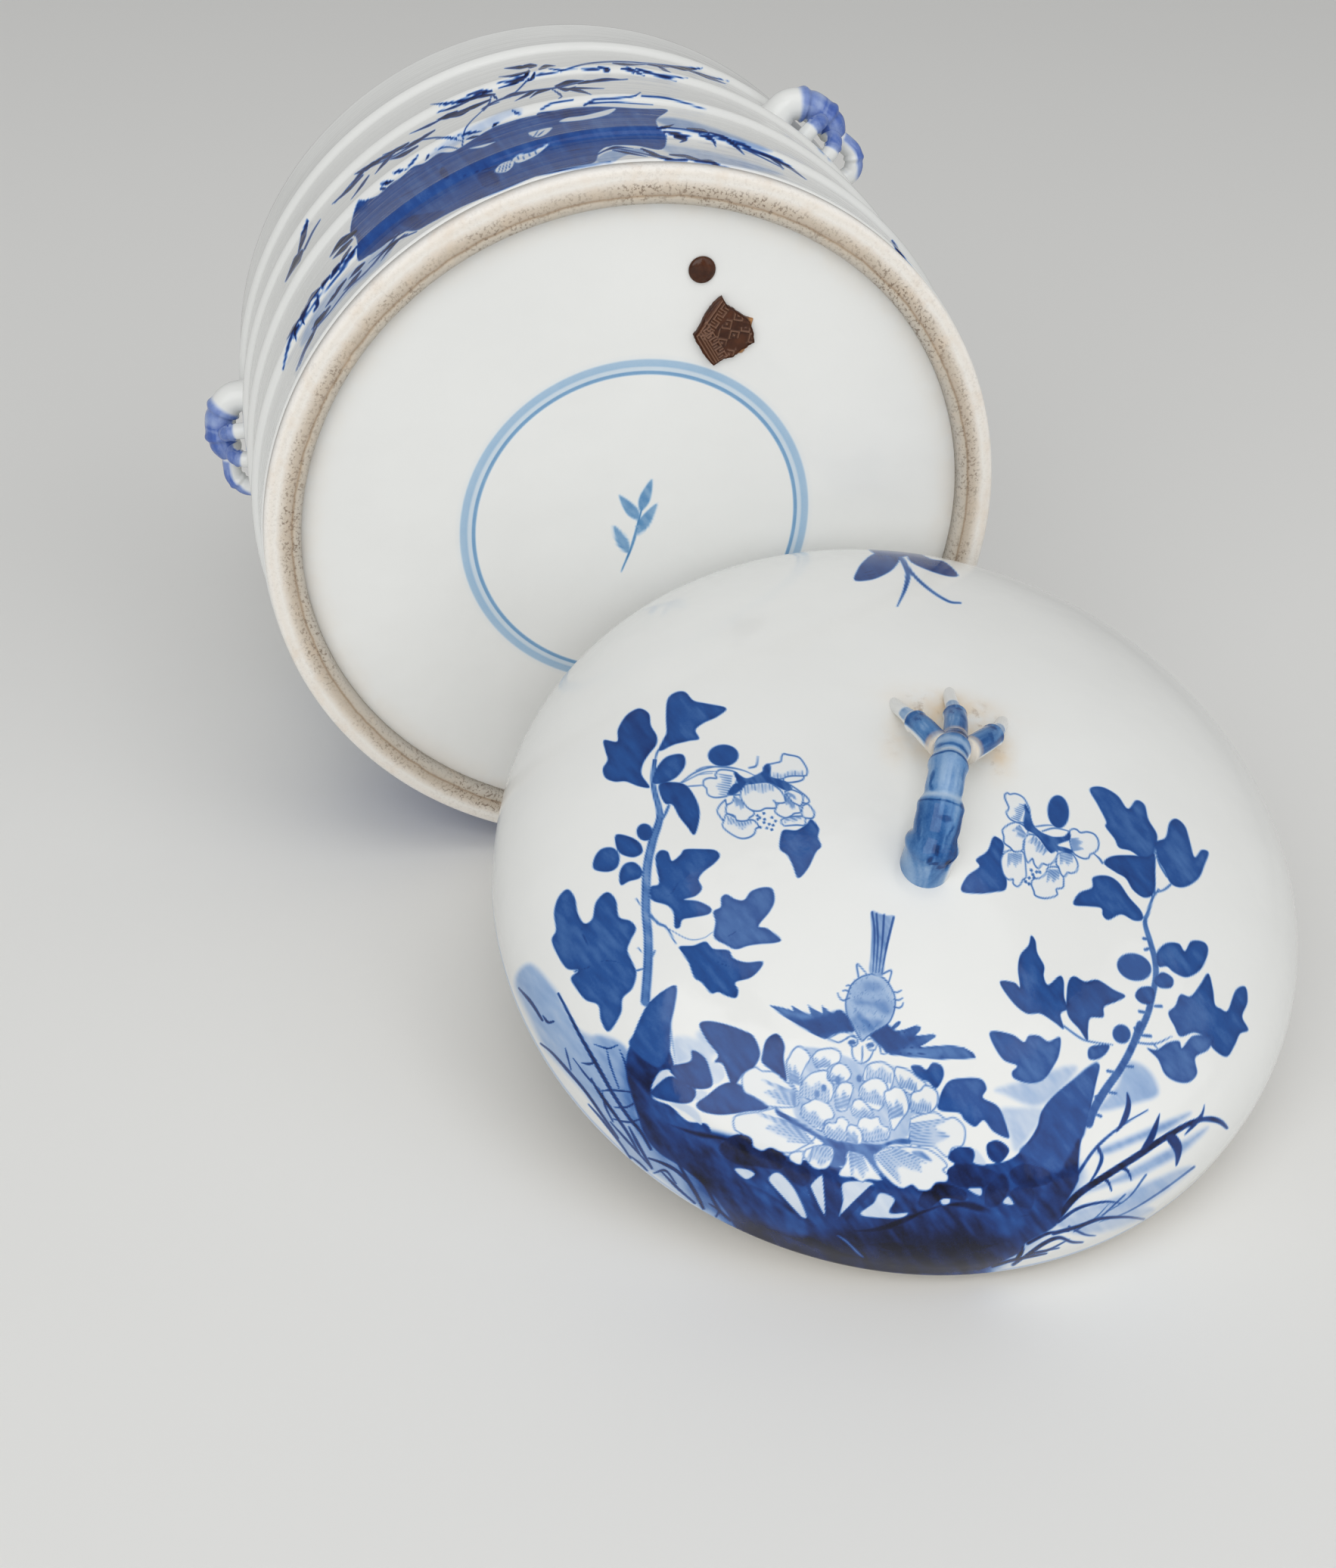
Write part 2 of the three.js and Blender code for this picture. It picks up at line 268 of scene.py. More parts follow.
# Shader node groups
def newGroup(name, values, outputs):  # takes a place and some values
    group = bpy.data.node_groups.new(name, "ShaderNodeTree")
    group.interface.new_socket("Vector", in_out="INPUT", socket_type="NodeSocketVector")
    for label, value in values.items():
        group.interface.new_socket(label, in_out="INPUT", socket_type="NodeSocketFloat").default_value = value
    for label, kind in outputs.items():
        group.interface.new_socket(label, in_out="OUTPUT", socket_type="NodeSocket" + kind)
    return group, group.nodes.new("NodeGroupInput").outputs, group.nodes.new("NodeGroupOutput").inputs


def addNode(tree, kind, links=None, **values):
    node = tree.nodes.new(kind)
    for key, value in values.items():
        setattr(node, key, value)
    for socket, value in (links or {}).items():
        target = node.inputs[socket]
        if isinstance(value, bpy.types.NodeSocket):
            tree.links.new(value, target)
        else:
            target.default_value = value
    return node


def maths(tree, operation, a, b=0.0, clamp=False):
    return addNode(tree, "ShaderNodeMath", {0: a, 1: b}, operation=operation, use_clamp=clamp).outputs[0]


def times(tree, a, b, clamp=False):
    return maths(tree, "MULTIPLY", a, b, clamp)


def plus(tree, a, b):
    return maths(tree, "ADD", a, b)


def mixColour(tree, share, a, b):
    return addNode(tree, "ShaderNodeMix", {0: share, 6: a, 7: b}, data_type="RGBA").outputs[2]


def noise(tree, place, scale, detail=2.0, rough=0.5):
    return addNode(tree, "ShaderNodeTexNoise",
                   {"Vector": place, "Scale": scale, "Detail": detail, "Roughness": rough}).outputs["Fac"]


def spread(tree, value, low, high, toLow=0.0, toHigh=1.0):
    return addNode(tree, "ShaderNodeMapRange", {"Value": value, "From Min": low, "From Max": high,
                                                "To Min": toLow, "To Max": toHigh}).outputs["Result"]


def rgb(r, g, b):  # 0 to 255 as seen, to scene values
    lift = lambda c: c / 12.92 if c <= 0.04045 else ((c + 0.055) / 1.055) ** 2.4
    return (lift(r / 255), lift(g / 255), lift(b / 255), 1.0)


def colourSteps(tree, share, colours):
    node = addNode(tree, "ShaderNodeValToRGB", {"Fac": share})
    steps = node.color_ramp.elements
    while len(steps) < len(colours):
        steps.new(0.5)
    for step, (at, colour) in zip(steps, colours):
        step.position = at
        step.color = rgb(*colour)
    return node.outputs["Color"]


def roughen(tree, shader, height, strength, depth):
    bump = addNode(tree, "ShaderNodeBump", {"Strength": strength, "Distance": depth, "Height": height})
    tree.links.new(bump.outputs[0], shader.inputs["Normal"])


specks = {"Cells": 62, "Share": 0.05, "Size": 0.15}


def speckGroup():
    group, given, result = newGroup("ironSpecks", specks, {"Mask": "Float"})
    cells = addNode(group, "ShaderNodeTexVoronoi", {"Vector": given["Vector"], "Scale": given["Cells"]})
    pick = addNode(group, "ShaderNodeSeparateColor", {"Color": cells.outputs["Color"]})
    chosen = maths(group, "LESS_THAN", pick.outputs[0], given["Share"])
    size = times(group, pick.outputs[1], given["Size"])
    dot = maths(group, "LESS_THAN", cells.outputs["Distance"], size)
    group.links.new(times(group, chosen, dot), result["Mask"])
    return group


cobaltSteps = [  # pigment share, colour as seen
    (0.0, (231, 232, 230)), (0.1, (208, 217, 228)), (0.3, (152, 177, 212)), (0.5, (84, 124, 182)),
    (0.68, (36, 78, 146)), (0.82, (27, 55, 116)), (0.93, (20, 33, 76)), (1.0, (11, 14, 36)),
]


def glazeGroup(speckTree):
    group, given, result = newGroup(
        "paintedGlaze",
        {"Pigment": 0.0, "Stain": 0.0, "Bare": 0.0, "Break up": 0.2, "Turning": 0.0, "Violet": 0.0, "Specks": 1.0},
        {"Color": "Color", "Roughness": "Float", "Height": "Float"})
    place = given["Vector"]
    pool = noise(group, place, 260, 3)  # how the wash gathers, a few mm across
    grain = noise(group, place, 1700, 2)
    gather = plus(group, maths(group, "SUBTRACT", pool, 0.5),
                  times(group, maths(group, "SUBTRACT", grain, 0.5), 0.6))
    change = plus(group, times(group, gather, given["Break up"]), 1.0)
    pigment = times(group, given["Pigment"], change, clamp=True)
    blue = colourSteps(group, pigment, cobaltSteps)
    lean = plus(group, times(group, given["Violet"], 0.022), 0.5)
    colour = addNode(group, "ShaderNodeHueSaturation", {"Hue": lean, "Color": blue}).outputs["Color"]
    tone = spread(group, noise(group, place, 22, 2), 0.3, 0.7, 0.965, 1.0)  # slight unevenness of the glaze
    toned = addNode(group, "ShaderNodeVectorMath", {0: colour, 3: tone}, operation="SCALE").outputs[0]
    speck = addNode(group, "ShaderNodeGroup", {"Vector": place}, node_tree=speckTree).outputs[0]
    speck = times(group, speck, times(group, given["Specks"], 0.75))
    spotted = mixColour(group, speck, toned, rgb(92, 74, 58))
    soak = times(group, given["Stain"], spread(group, noise(group, place, 120, 3), 0.25, 0.6), clamp=True)
    soaked = mixColour(group, soak, spotted, rgb(224, 205, 178))
    dirt = times(group, maths(group, "POWER", given["Stain"], 2.0),
                 spread(group, noise(group, place, 300, 4, 0.65), 0.56, 0.8), clamp=True)
    stained = mixColour(group, dirt, soaked, rgb(142, 116, 88))
    worn = mixColour(group, given["Bare"], stained, rgb(222, 213, 198))
    group.links.new(worn, result["Color"])
    shine = plus(group, spread(group, noise(group, place, 70, 3), 0.3, 0.7, 0.07, 0.13),
                 times(group, maths(group, "MAXIMUM", given["Bare"], dirt), 0.5))
    group.links.new(shine, result["Roughness"])
    ripple = times(group, noise(group, place, 420, 2), 0.08)
    waves = plus(group, noise(group, place, 55, 2), ripple)
    along = addNode(group, "ShaderNodeMapping", {"Vector": place, "Scale": (3, 480, 3)}).outputs[0]
    turned = times(group, noise(group, along, 1.0, 3), given["Turning"])
    group.links.new(plus(group, waves, turned), result["Height"])
    return group


def newMaterial(name):
    material = bpy.data.materials.new(name)
    material.use_nodes = True
    tree = material.node_tree
    return material, tree, tree.nodes["Principled BSDF"], addNode(tree, "ShaderNodeTexCoord").outputs["Object"]


def markOf(tree, name):
    return addNode(tree, "ShaderNodeAttribute", attribute_name=name).outputs["Fac"]


glaze = {"specular": 0.27, "bump": 0.35}


def glazeMaterial(name, breakUp, turning, depth, iron=1.0):
    material, tree, shader, place = newMaterial(name)
    given = {"Vector": place, "Break up": breakUp, "Turning": turning, "Specks": iron}
    for mark in ("pigment", "stain", "bare", "violet"):
        given[mark.capitalize()] = markOf(tree, mark)
    skin = addNode(tree, "ShaderNodeGroup", given, node_tree=glazeTree).outputs
    tree.links.new(skin["Color"], shader.inputs["Base Color"])
    tree.links.new(skin["Roughness"], shader.inputs["Roughness"])
    roughen(tree, shader, skin["Height"], glaze["bump"], depth)
    shader.inputs["Specular IOR Level"].default_value = glaze["specular"]
    return material


speckTree = speckGroup()
glazeTree = glazeGroup(speckTree)
wallGlaze = glazeMaterial("wallGlaze", 0.16, 0.5, 0.0012)
lidGlaze = glazeMaterial("lidGlaze", 0.1, 0.0, 0.0010)
stemGlaze = glazeMaterial("stemGlaze", 0.3, 0.0, 0.0008, iron=0.0)
print("glaze materials made")


# Container: wall with ridges, base and inside, turned in one
pot = {
    "radius": 113.0, "wall": 6.0, "height": 149.0, "basePlane": 4.7, "baseThickness": 7.0, "corner": 9.0,
    "ridges": (30.0, 62.0, 93.0, 120.0), "ridgeRise": 1.6, "ridgeHalf": 3.2, "hollow": 0.7,
    "segments": 1500, "wallStep": 0.5,
    # painted rings on the base: radius, tone
    "rings": ((49.2, 0), (49.7, 0.4), (50.4, 0.42), (50.8, 0.13), (51.6, 0.13), (52.2, 0.28), (53.9, 0.26),
              (54.5, 0.02), (56, 0)),
    # where the lip is bare and the base stained: from, softness, strength
    "lipBare": (1.2, 0.8, 0.85), "baseStain": (92, 12, 0.25), "baseHue": -0.9, "wallHue": 0.1,
}


def wallRadius(h):
    stops = [pot["basePlane"], *pot["ridges"], pot["height"]]
    r = np.full(len(h), pot["radius"])
    for low, high in zip(stops[:-1], stops[1:]):
        share = np.clip((h - low) / (high - low), 0, 1)
        r = r - np.where((h >= low) & (h < high), pot["hollow"] * (1 - (2 * share - 1) ** 2), 0)
    for ridge in pot["ridges"]:
        r = r + pot["ridgeRise"] * np.clip(1 - ((h - ridge) / pot["ridgeHalf"]) ** 2, 0, 1) ** 1.3
    return r


def potProfile():
    edge, lipRise = 1.3, 1.5  # rounding of the foot-side edge and of the lip
    lipStart = pot["height"] - lipRise
    base = [(r, pot["basePlane"]) for r in np.concatenate([  # closer steps where it is painted
        [0], np.arange(0.7, 21, 0.75), [24, 30, 38, 46, *(r for r, _ in pot["rings"]), 62],
        np.arange(70, 111.6, 4)])]
    h = np.arange(pot["basePlane"] + edge, lipStart, pot["wallStep"])
    corner = [(pot["radius"] - edge + edge * math.sin(a), pot["basePlane"] + edge - edge * math.cos(a))
              for a in np.linspace(0, math.pi / 2, 5)[:-1]]
    wall = list(zip(wallRadius(h), h))
    lipMiddle = pot["radius"] - pot["wall"] / 2
    lip = [(lipMiddle + pot["wall"] / 2 * math.cos(a) ** 0.8, lipStart + lipRise * math.sin(a) ** 0.8)
           for a in np.linspace(0.2, math.pi / 2, 5)]
    mouth = pot["radius"] - pot["wall"]
    lip += [(2 * lipMiddle - r, z) for r, z in reversed(lip[:-1])]
    floor = pot["basePlane"] + pot["baseThickness"]
    inside = [(mouth, z) for z in np.linspace(pot["height"] - 2, floor + pot["corner"], 26)]
    inside += [(mouth - pot["corner"] + pot["corner"] * math.cos(a), floor + pot["corner"] * (1 - math.sin(a)))
               for a in np.linspace(0, math.pi / 2, 7)[1:]]
    inside += [(r, floor) for r in (88, 70, 45, 20, 0)]
    return base + corner + wall + lip + inside, len(base), len(base) + len(corner) + len(wall)


# Handles: sizes in mm, places by angle and side, and how the blue is brushed on
handles = {
    "height": 110.0, "radius": 113.0, "stem": 5.2, "reach": 9.0, "half": 11.0, "twig": 2.7, "spread": 9.0,
    "loop": 3.1, "loopSpan": 9.0,
    "places": {"right_low": (-5, 1), "right_high": (-50, 1), "left_high": (175, -1), "left_low": (130, -1)},
    "smears": ((-9, -15, 0.36), (2, -17, 0.32), (15, -14, 0.4)),  # along, up the wall, strength
    "smearLong": 4.5, "smearHigh": 2.6,
    "wash": {"tones": ((0.3, 0.4), (0.55, 0.38), (0.6, 0.55), (0.75, 0.5), (1, 0.44)),
             # lines: share of the joint, tone of its dark line, strength of the painted highlight above it
             "lines": ((0.6, 0.64, 0.2),), "dabs": (),
             "edge": -0.8, "lean": 0.0, "from": 0.34, "to": 1.2, "violet": 0.8},
    "twigWash": {"tones": ((0, 0.46), (0.5, 0.44), (0.75, 0.4)), "lines": (), "dabs": ((0.5, 0.0, 0.03, 0.5, 0.66),),
                 "edge": -0.3, "lean": 0.0, "from": -0.2, "to": 0.62, "violet": 0.8},
    "loopWash": {"tones": ((0, 0.44), (0.5, 0.46), (0.8, 0.42)), "lines": (), "dabs": (),
                 "edge": 0.0, "lean": 0.0, "from": 0.12, "to": 0.8, "violet": 0.8},
}


# The wall is drawn round the foot's oval: as the camera sees it and as it is drawn (middle and half sizes)
wallGuide = {"seen": (831.3, 663.4, 482.1, 443.3), "drawn": (822, 643, 481, 459), "stretch": 1.14,
             "corner": (320, 20), "units": 2.7, "grain": 11.6}
onWall = sketchOn((0, 0), wallGuide["grain"])


def wallAsDrawn(p):  # points in m, to mm on the drawing
    seen, drawn = np.array(wallGuide["seen"]), np.array(wallGuide["drawn"])
    across, down = ((pictureSpot(p) - seen[:2]) / seen[2:]).T
    reach = np.hypot(across, down)
    reach = (1 + (reach - 1) / wallGuide["stretch"]) / reach
    left, top = wallGuide["corner"]
    k = wallGuide["units"] / wallGuide["grain"]
    return (drawn[0] + across * reach * drawn[2] - left) * k, (top - drawn[1] - down * reach * drawn[3]) * k


# Bamboo on the wall: stalks and leaves by their width in tenths of a mm
wallStalks = {
    4: [[1010, 160, 975, 195, 940, 225], [1120, 135, 1200, 112, 1300, 103, 1420, 108, 1610, 128],
        [845, 265, 870, 252, 905, 240], [640, 370, 540, 430, 430, 490, 330, 600], [640, 372, 700, 363, 775, 372],
        [770, 402, 780, 345, 800, 312, 850, 266], [680, 405, 720, 394, 770, 400], [1210, 240, 1300, 235, 1440, 243],
        [390, 760, 340, 830, 300, 880, 250, 940, 210, 1000, 165, 1080],
        [540, 690, 480, 760, 420, 830, 350, 900, 290, 980, 230, 1060, 180, 1180],
        [1230, 410, 1300, 385, 1400, 400, 1500, 420, 1600, 422, 1700, 452, 1800, 490, 1880, 520]],
    5: [[850, 262, 900, 235, 1000, 205, 1100, 190, 1200, 170, 1350, 160], [850, 268, 870, 245, 880, 212],
        [1050, 260, 1090, 240, 1160, 228], [1400, 214, 1480, 220, 1560, 240, 1625, 262],
        [1470, 315, 1560, 325, 1640, 345, 1720, 375, 1800, 410, 1900, 460], [220, 765, 250, 705, 278, 660]],
    6: [[1200, 245, 1240, 226, 1300, 222, 1370, 215, 1395, 203], [230, 1060, 200, 1120, 170, 1195]],
    7: [[165, 1060, 145, 1120, 128, 1195]],
}
wallLeaves = {
    5: [[1080, 128, 1130, 132, 1180, 128], [760, 365, 720, 362, 680, 370], [580, 670, 500, 720, 440, 770],
        [570, 690, 500, 740, 430, 800], [560, 692, 490, 752, 440, 812], [600, 682, 520, 722, 460, 782]],
    6: [[1540, 125, 1620, 150, 1700, 170], [1090, 195, 1120, 215, 1110, 225], [548, 702, 500, 752, 470, 792]],
    7: [[1030, 150, 1060, 145, 1110, 140], [1430, 140, 1490, 150, 1560, 158], [1440, 150, 1490, 158, 1520, 168],
        [1560, 130, 1640, 160, 1690, 178], [1450, 115, 1480, 130, 1500, 138], [1120, 195, 1180, 190, 1270, 190],
        [800, 240, 740, 265, 680, 285], [700, 305, 650, 330, 595, 355], [878, 215, 893, 226, 902, 234],
        [450, 500, 420, 540, 385, 585], [620, 425, 590, 460, 575, 475], [657, 422, 650, 432, 643, 442],
        [1260, 395, 1310, 380, 1372, 385], [1300, 390, 1360, 400, 1420, 411], [1780, 475, 1840, 496, 1890, 526],
        [2285, 722, 2330, 800, 2400, 900]],
    8: [[1190, 128, 1240, 128, 1275, 122], [1300, 108, 1350, 112, 1420, 112], [1350, 120, 1390, 140, 1410, 150],
        [1420, 112, 1480, 118, 1560, 122], [1200, 170, 1280, 160, 1340, 162], [680, 340, 640, 365, 610, 385],
        [790, 365, 815, 357, 840, 352], [950, 266, 968, 276, 992, 270], [1700, 460, 1770, 480, 1802, 491]],
    9: [[1000, 140, 960, 152, 905, 158], [1030, 200, 1000, 215, 960, 235], [1080, 195, 1040, 205, 1010, 225],
        [1150, 195, 1190, 200, 1225, 210], [1180, 175, 1220, 168, 1290, 165], [860, 215, 790, 235, 700, 260],
        [530, 430, 500, 460, 470, 495], [440, 480, 410, 510, 385, 540], [430, 500, 370, 560, 320, 605],
        [530, 490, 555, 480, 580, 475], [485, 546, 496, 543, 505, 540], [760, 355, 800, 345, 840, 338],
        [880, 322, 890, 312, 905, 305], [375, 747, 346, 792, 320, 842], [190, 1010, 166, 1050, 145, 1086],
        [352, 860, 320, 902, 300, 940], [332, 890, 300, 932, 275, 966], [272, 980, 242, 1022, 230, 1052],
        [246, 1030, 216, 1090, 190, 1150], [1450, 320, 1492, 314, 1516, 305], [1830, 410, 1880, 440, 1900, 466],
        [1500, 405, 1560, 411, 1602, 421], [1640, 435, 1700, 460, 1762, 481]],
    10: [[990, 165, 950, 180, 905, 195], [1330, 125, 1360, 130, 1375, 145], [1380, 125, 1430, 140, 1480, 150],
        [840, 225, 760, 245, 670, 255], [590, 385, 540, 415, 500, 430], [396, 742, 362, 790, 330, 832],
        [1800, 400, 1900, 445, 1982, 502], [1430, 400, 1500, 420, 1562, 426]],
    11: [[1010, 122, 970, 126, 925, 130], [1005, 150, 960, 168, 895, 178], [1045, 130, 1070, 120, 1100, 118],
        [1030, 140, 1020, 160, 1000, 172], [1250, 120, 1285, 130, 1265, 138], [1500, 120, 1560, 128, 1610, 126],
        [1000, 205, 950, 215, 920, 225], [1110, 190, 1140, 195, 1170, 185], [890, 215, 830, 225, 760, 245],
        [870, 235, 800, 265, 740, 285], [640, 365, 600, 390, 560, 410], [620, 395, 560, 430, 520, 445],
        [540, 420, 500, 440, 480, 445], [300, 850, 272, 888, 276, 902], [255, 920, 250, 958, 236, 986],
        [215, 962, 200, 1008, 206, 1032], [186, 1030, 172, 1060, 176, 1090], [415, 800, 386, 830, 360, 860],
        [402, 830, 370, 870, 340, 902], [292, 960, 256, 1010, 226, 1046], [1560, 320, 1620, 330, 1642, 345],
        [1600, 340, 1650, 360, 1662, 386], [1640, 335, 1690, 353, 1722, 366], [1720, 365, 1770, 385, 1802, 402],
        [1760, 390, 1850, 420, 1902, 462], [1400, 385, 1450, 405, 1502, 421], [1560, 415, 1600, 425, 1642, 436],
        [1600, 425, 1650, 432, 1692, 451], [2290, 730, 2350, 820, 2420, 930, 2452, 998]],
    12: [[500, 440, 460, 465, 430, 480], [470, 460, 430, 485, 400, 500], [1690, 355, 1730, 380, 1762, 411]],
    13: [[1010, 135, 1000, 150, 988, 168], [1100, 185, 1150, 170, 1200, 165], [880, 205, 840, 210, 790, 222],
        [488, 530, 510, 522, 532, 514], [380, 722, 342, 762, 312, 792], [332, 808, 312, 840, 300, 862],
        [262, 898, 236, 930, 215, 962], [226, 950, 200, 998, 190, 1022], [1480, 330, 1530, 340, 1580, 350],
        [1515, 348, 1555, 355, 1536, 366]],
    14: [[1035, 118, 1010, 120, 992, 118], [760, 275, 720, 295, 690, 305]],
    15: [[820, 255, 760, 285, 700, 300], [236, 665, 216, 730, 196, 790]],
    18: [[396, 692, 342, 735, 303, 786]],
    19: [[213, 770, 188, 812, 152, 880]],
}


def paintWall(sheet):
    # pale washes behind everything
    for wash, tone in (
        ([640, 440, 720, 372, 830, 312, 930, 265, 985, 262, 930, 292, 830, 345, 720, 402], 0.17),
        ([1450, 292, 1500, 285, 1600, 305, 1720, 345, 1860, 402, 1780, 392, 1650, 350, 1500, 315], 0.32),
        ([1450, 370, 1600, 390, 1760, 430, 1900, 482, 1700, 442, 1550, 420], 0.2),
        ([190, 1110, 210, 1040, 300, 900, 420, 790, 520, 715, 480, 792, 360, 902, 260, 1022], 0.2),
    ):
        fill(sheet, onWall(wash), tone, soft=1.2, mottle=0.06)
    rock = [405, 595, 430, 586, 470, 570, 500, 545, 530, 520, 560, 500, 600, 465, 640, 450, 690, 416, 740, 408,
        800, 372, 870, 330, 920, 310, 985, 290, 1060, 274, 1140, 256, 1250, 249, 1400, 255, 1490, 260, 1452, 290,
        1462, 318, 1488, 346, 1470, 388, 1380, 375, 1290, 376, 1250, 396, 1232, 430, 1150, 446, 1050, 470, 900, 530,
        760, 590, 650, 650, 600, 678, 540, 690, 480, 740, 430, 775, 394, 792, 396, 720, 376, 690]
    fill(sheet, onWall(rock), 0.69, soft=0.4, mottle=0.1, pool=0.08)
    for shade, tone in (
        ([690, 478, 700, 460, 714, 470, 722, 492, 704, 500], 0.86),
        ([820, 480, 850, 470, 885, 470, 895, 505, 850, 520, 826, 505], 0.8),
        ([540, 660, 580, 632, 640, 618, 700, 606, 660, 640, 600, 672], 0.8),
        ([1040, 272, 1150, 260, 1280, 256, 1290, 264, 1180, 280, 1060, 290], 0.8),
        ([1240, 425, 1280, 395, 1380, 384, 1440, 395, 1350, 405, 1290, 432], 0.3),
    ):
        fill(sheet, onWall(shade), tone, soft=0.5, mottle=0.08)
    for facet in (
        [690, 478, 740, 494, 800, 478, 870, 456, 930, 440, 960, 418, 1075, 365, 1085, 352, 1060, 350],
        [560, 655, 590, 632, 650, 618, 720, 602], [820, 480, 832, 512, 862, 522, 905, 512],
        [1100, 404, 1180, 388, 1290, 376], [800, 376, 840, 366, 900, 356, 1000, 340],
        [450, 630, 540, 575, 640, 520, 690, 500], [1070, 292, 1160, 282, 1290, 262],
        [1010, 480, 1120, 456, 1290, 426], [540, 540, 600, 490, 660, 470],
    ):
        stroke(sheet, onWall(facet), 0.6, 0.87, ends=(0.5, 0.4), soft=0.6)
    for gap in (
        [882, 470, 900, 445, 940, 430, 946, 446, 920, 468],
        [945, 427, 970, 410, 1010, 402, 1072, 372, 1048, 396, 1010, 420, 965, 437],
        [1002, 340, 1030, 330, 1085, 319, 1062, 342, 1030, 352],
        [1115, 300, 1140, 286, 1200, 278, 1306, 254, 1280, 275, 1200, 292], [796, 396, 840, 383, 886, 371, 842, 390],
    ):
        fill(sheet, onWall(gap), 0.05, soft=0.4, mottle=0)
    for tick in (
        [894, 468, 903, 446], [906, 467, 915, 441], [918, 465, 926, 437], [931, 458, 937, 434], [965, 430, 962, 412],
        [985, 424, 982, 406], [1005, 416, 1002, 402], [1028, 408, 1024, 392], [1022, 350, 1040, 326],
        [1034, 348, 1060, 328],
    ):
        stroke(sheet, onWall(tick), 0.5, 0.62, soft=0.4)
    for plant, tone, ends, soft in ((wallStalks, 0.84, (1, 0.5), 0.4), (wallLeaves, 0.93, (0.4, 0.12), 0.35)):
        for width, lines in plant.items():
            for line in lines:
                stroke(sheet, onWall(line), width / 10, tone, ends, soft)


def paintBase(sheet):
    # a small leaf sprig in the middle of the ring
    for root, heading, run in (((-2, -9), 118, 11), ((0, -3), 60, 12), ((1, 2), 128, 11), ((1, 5), 74, 11)):
        a = math.radians(heading)
        ahead, aside = np.array([math.cos(a), math.sin(a)]), np.array([-math.sin(a), math.cos(a)])
        leaf = [np.array(root) + ahead * run * s + aside * run * w
                for s, w in ((0, 0), (0.3, 0.16), (0.65, 0.13), (1, 0), (0.65, -0.12), (0.3, -0.15))]
        fill(sheet, leaf, 0.42, soft=0.9, mottle=0.12)
    stroke(sheet, [(-4, -15), (-1, -6), (1, 4), (2, 10)], 1.0, 0.5, soft=0.6)


def buildPot():
    profile, baseRings, wallRings = potProfile()
    points, quads, tris, ringOf = turn(profile, allRound(pot["segments"]))
    x, y, z = points.T
    r = np.hypot(x, y)
    outside = (ringOf >= baseRings) & (ringOf < wallRings)
    under = ringOf < baseRings
    world = potToWorld(points)
    out = potToWorld(np.column_stack([x, y, 0 * z])) - potToWorld(np.zeros((1, 3)))
    seen = outside & (np.einsum("ij,ij->i", out, np.array(eye["place"]) - world) > 0)
    wallSheet = newSheet(*wallAsDrawn(world), seen)
    paintWall(wallSheet)
    rounds = wallSheet["ink"][outside].reshape(-1, pot["segments"])
    pigment = np.zeros(len(x))
    pigment[outside] = np.maximum(rounds, rounds[:, -np.arange(pot["segments"])]).ravel()  # again below, mirrored
    for angle, side in handles["places"].values():
        turned = (np.arctan2(y, x) - math.radians(angle) + math.pi) % (2 * math.pi) - math.pi
        along, up = side * turned * pot["radius"], z - handles["height"]
        for a, b, tone in handles["smears"]:
            smear = np.exp(-(((along - a) / handles["smearLong"]) ** 2) - (((up - b) / handles["smearHigh"]) ** 2))
            smear = tone * ease(smear * cloud(along, up, 1.6, 71) * 1.8 - 0.25)
            pigment = np.maximum(pigment, np.where(outside, smear, 0))
    baseSheet = newSheet(x, -y, under)
    paintBase(baseSheet)
    pigment = pigment + baseSheet["ink"] + np.where(under, np.interp(r, *zip(*pot["rings"])), 0)
    start, softness, strength = pot["lipBare"]
    bare = ease((z - (pot["height"] - start)) / softness) * strength
    start, softness, strength = pot["baseStain"]
    stain = np.where(under, strength * ease((r - start) / softness), 0)
    violet = np.where(under, pot["baseHue"], pot["wallHue"])
    piece = makePiece("containerShell", world, quads, tris,
                      {"pigment": pigment, "bare": bare, "stain": stain, "violet": violet})
    settle(piece, "container", ["container_shell"], wallGlaze)


buildPot()
print("container shell turned and painted")


# Foot ring: bare, sandy clay
foot = {"inner": 101.4, "outer": 112.4, "height": 4.5, "groove": 104.2, "segments": 720,
        "wayRound": 107,  # mm along the ring in a radian
        "bands": [  # share of the way out, colour as seen: grime greys the middle, the inner bevel carries painted shade, and a dark line lies at the groove
            (0.0, (198, 191, 180)), (0.2, (192, 182, 167)), (0.255, (158, 138, 116)), (0.3, (186, 172, 155)),
            (0.45, (200, 188, 172)), (0.58, (220, 211, 199)), (0.7, (234, 230, 223)),
            (0.85, (232, 226, 217)), (1.0, (238, 235, 230)),
        ]}


def footMaterial():
    material, tree, shader, place = newMaterial("footBiscuit")
    across = markOf(tree, "across")
    sand = noise(tree, place, 900, 4, 0.7)
    patch = noise(tree, place, 45, 3, 0.6)
    # the biscuit's colour bands, with painted shade on the inner bevel
    bands = colourSteps(tree, across, foot["bands"])
    tan = times(tree, spread(tree, noise(tree, place, 130, 3, 0.6), 0.52, 0.72), 0.25)
    clay = mixColour(tree, tan, bands, rgb(216, 192, 164))
    rough = spread(tree, across, 0.62, 0.5)  # the worn half holds more grit
    dusty = times(tree, spread(tree, patch, 0.32, 0.62, 0.15, 1.0), spread(tree, rough, 0, 1, 0.12, 0.75))
    pit = times(tree, spread(tree, noise(tree, place, 1150, 3, 0.7), 0.53, 0.6), dusty)
    grimy = mixColour(tree, pit, clay, rgb(108, 88, 70))
    tree.links.new(grimy, shader.inputs["Base Color"])
    tree.links.new(spread(tree, sand, 0.3, 0.7, 0.7, 0.95), shader.inputs["Roughness"])
    height = maths(tree, "SUBTRACT", sand, times(tree, pit, 0.7))
    roughen(tree, shader, height, 0.5, 0.0003)
    return material


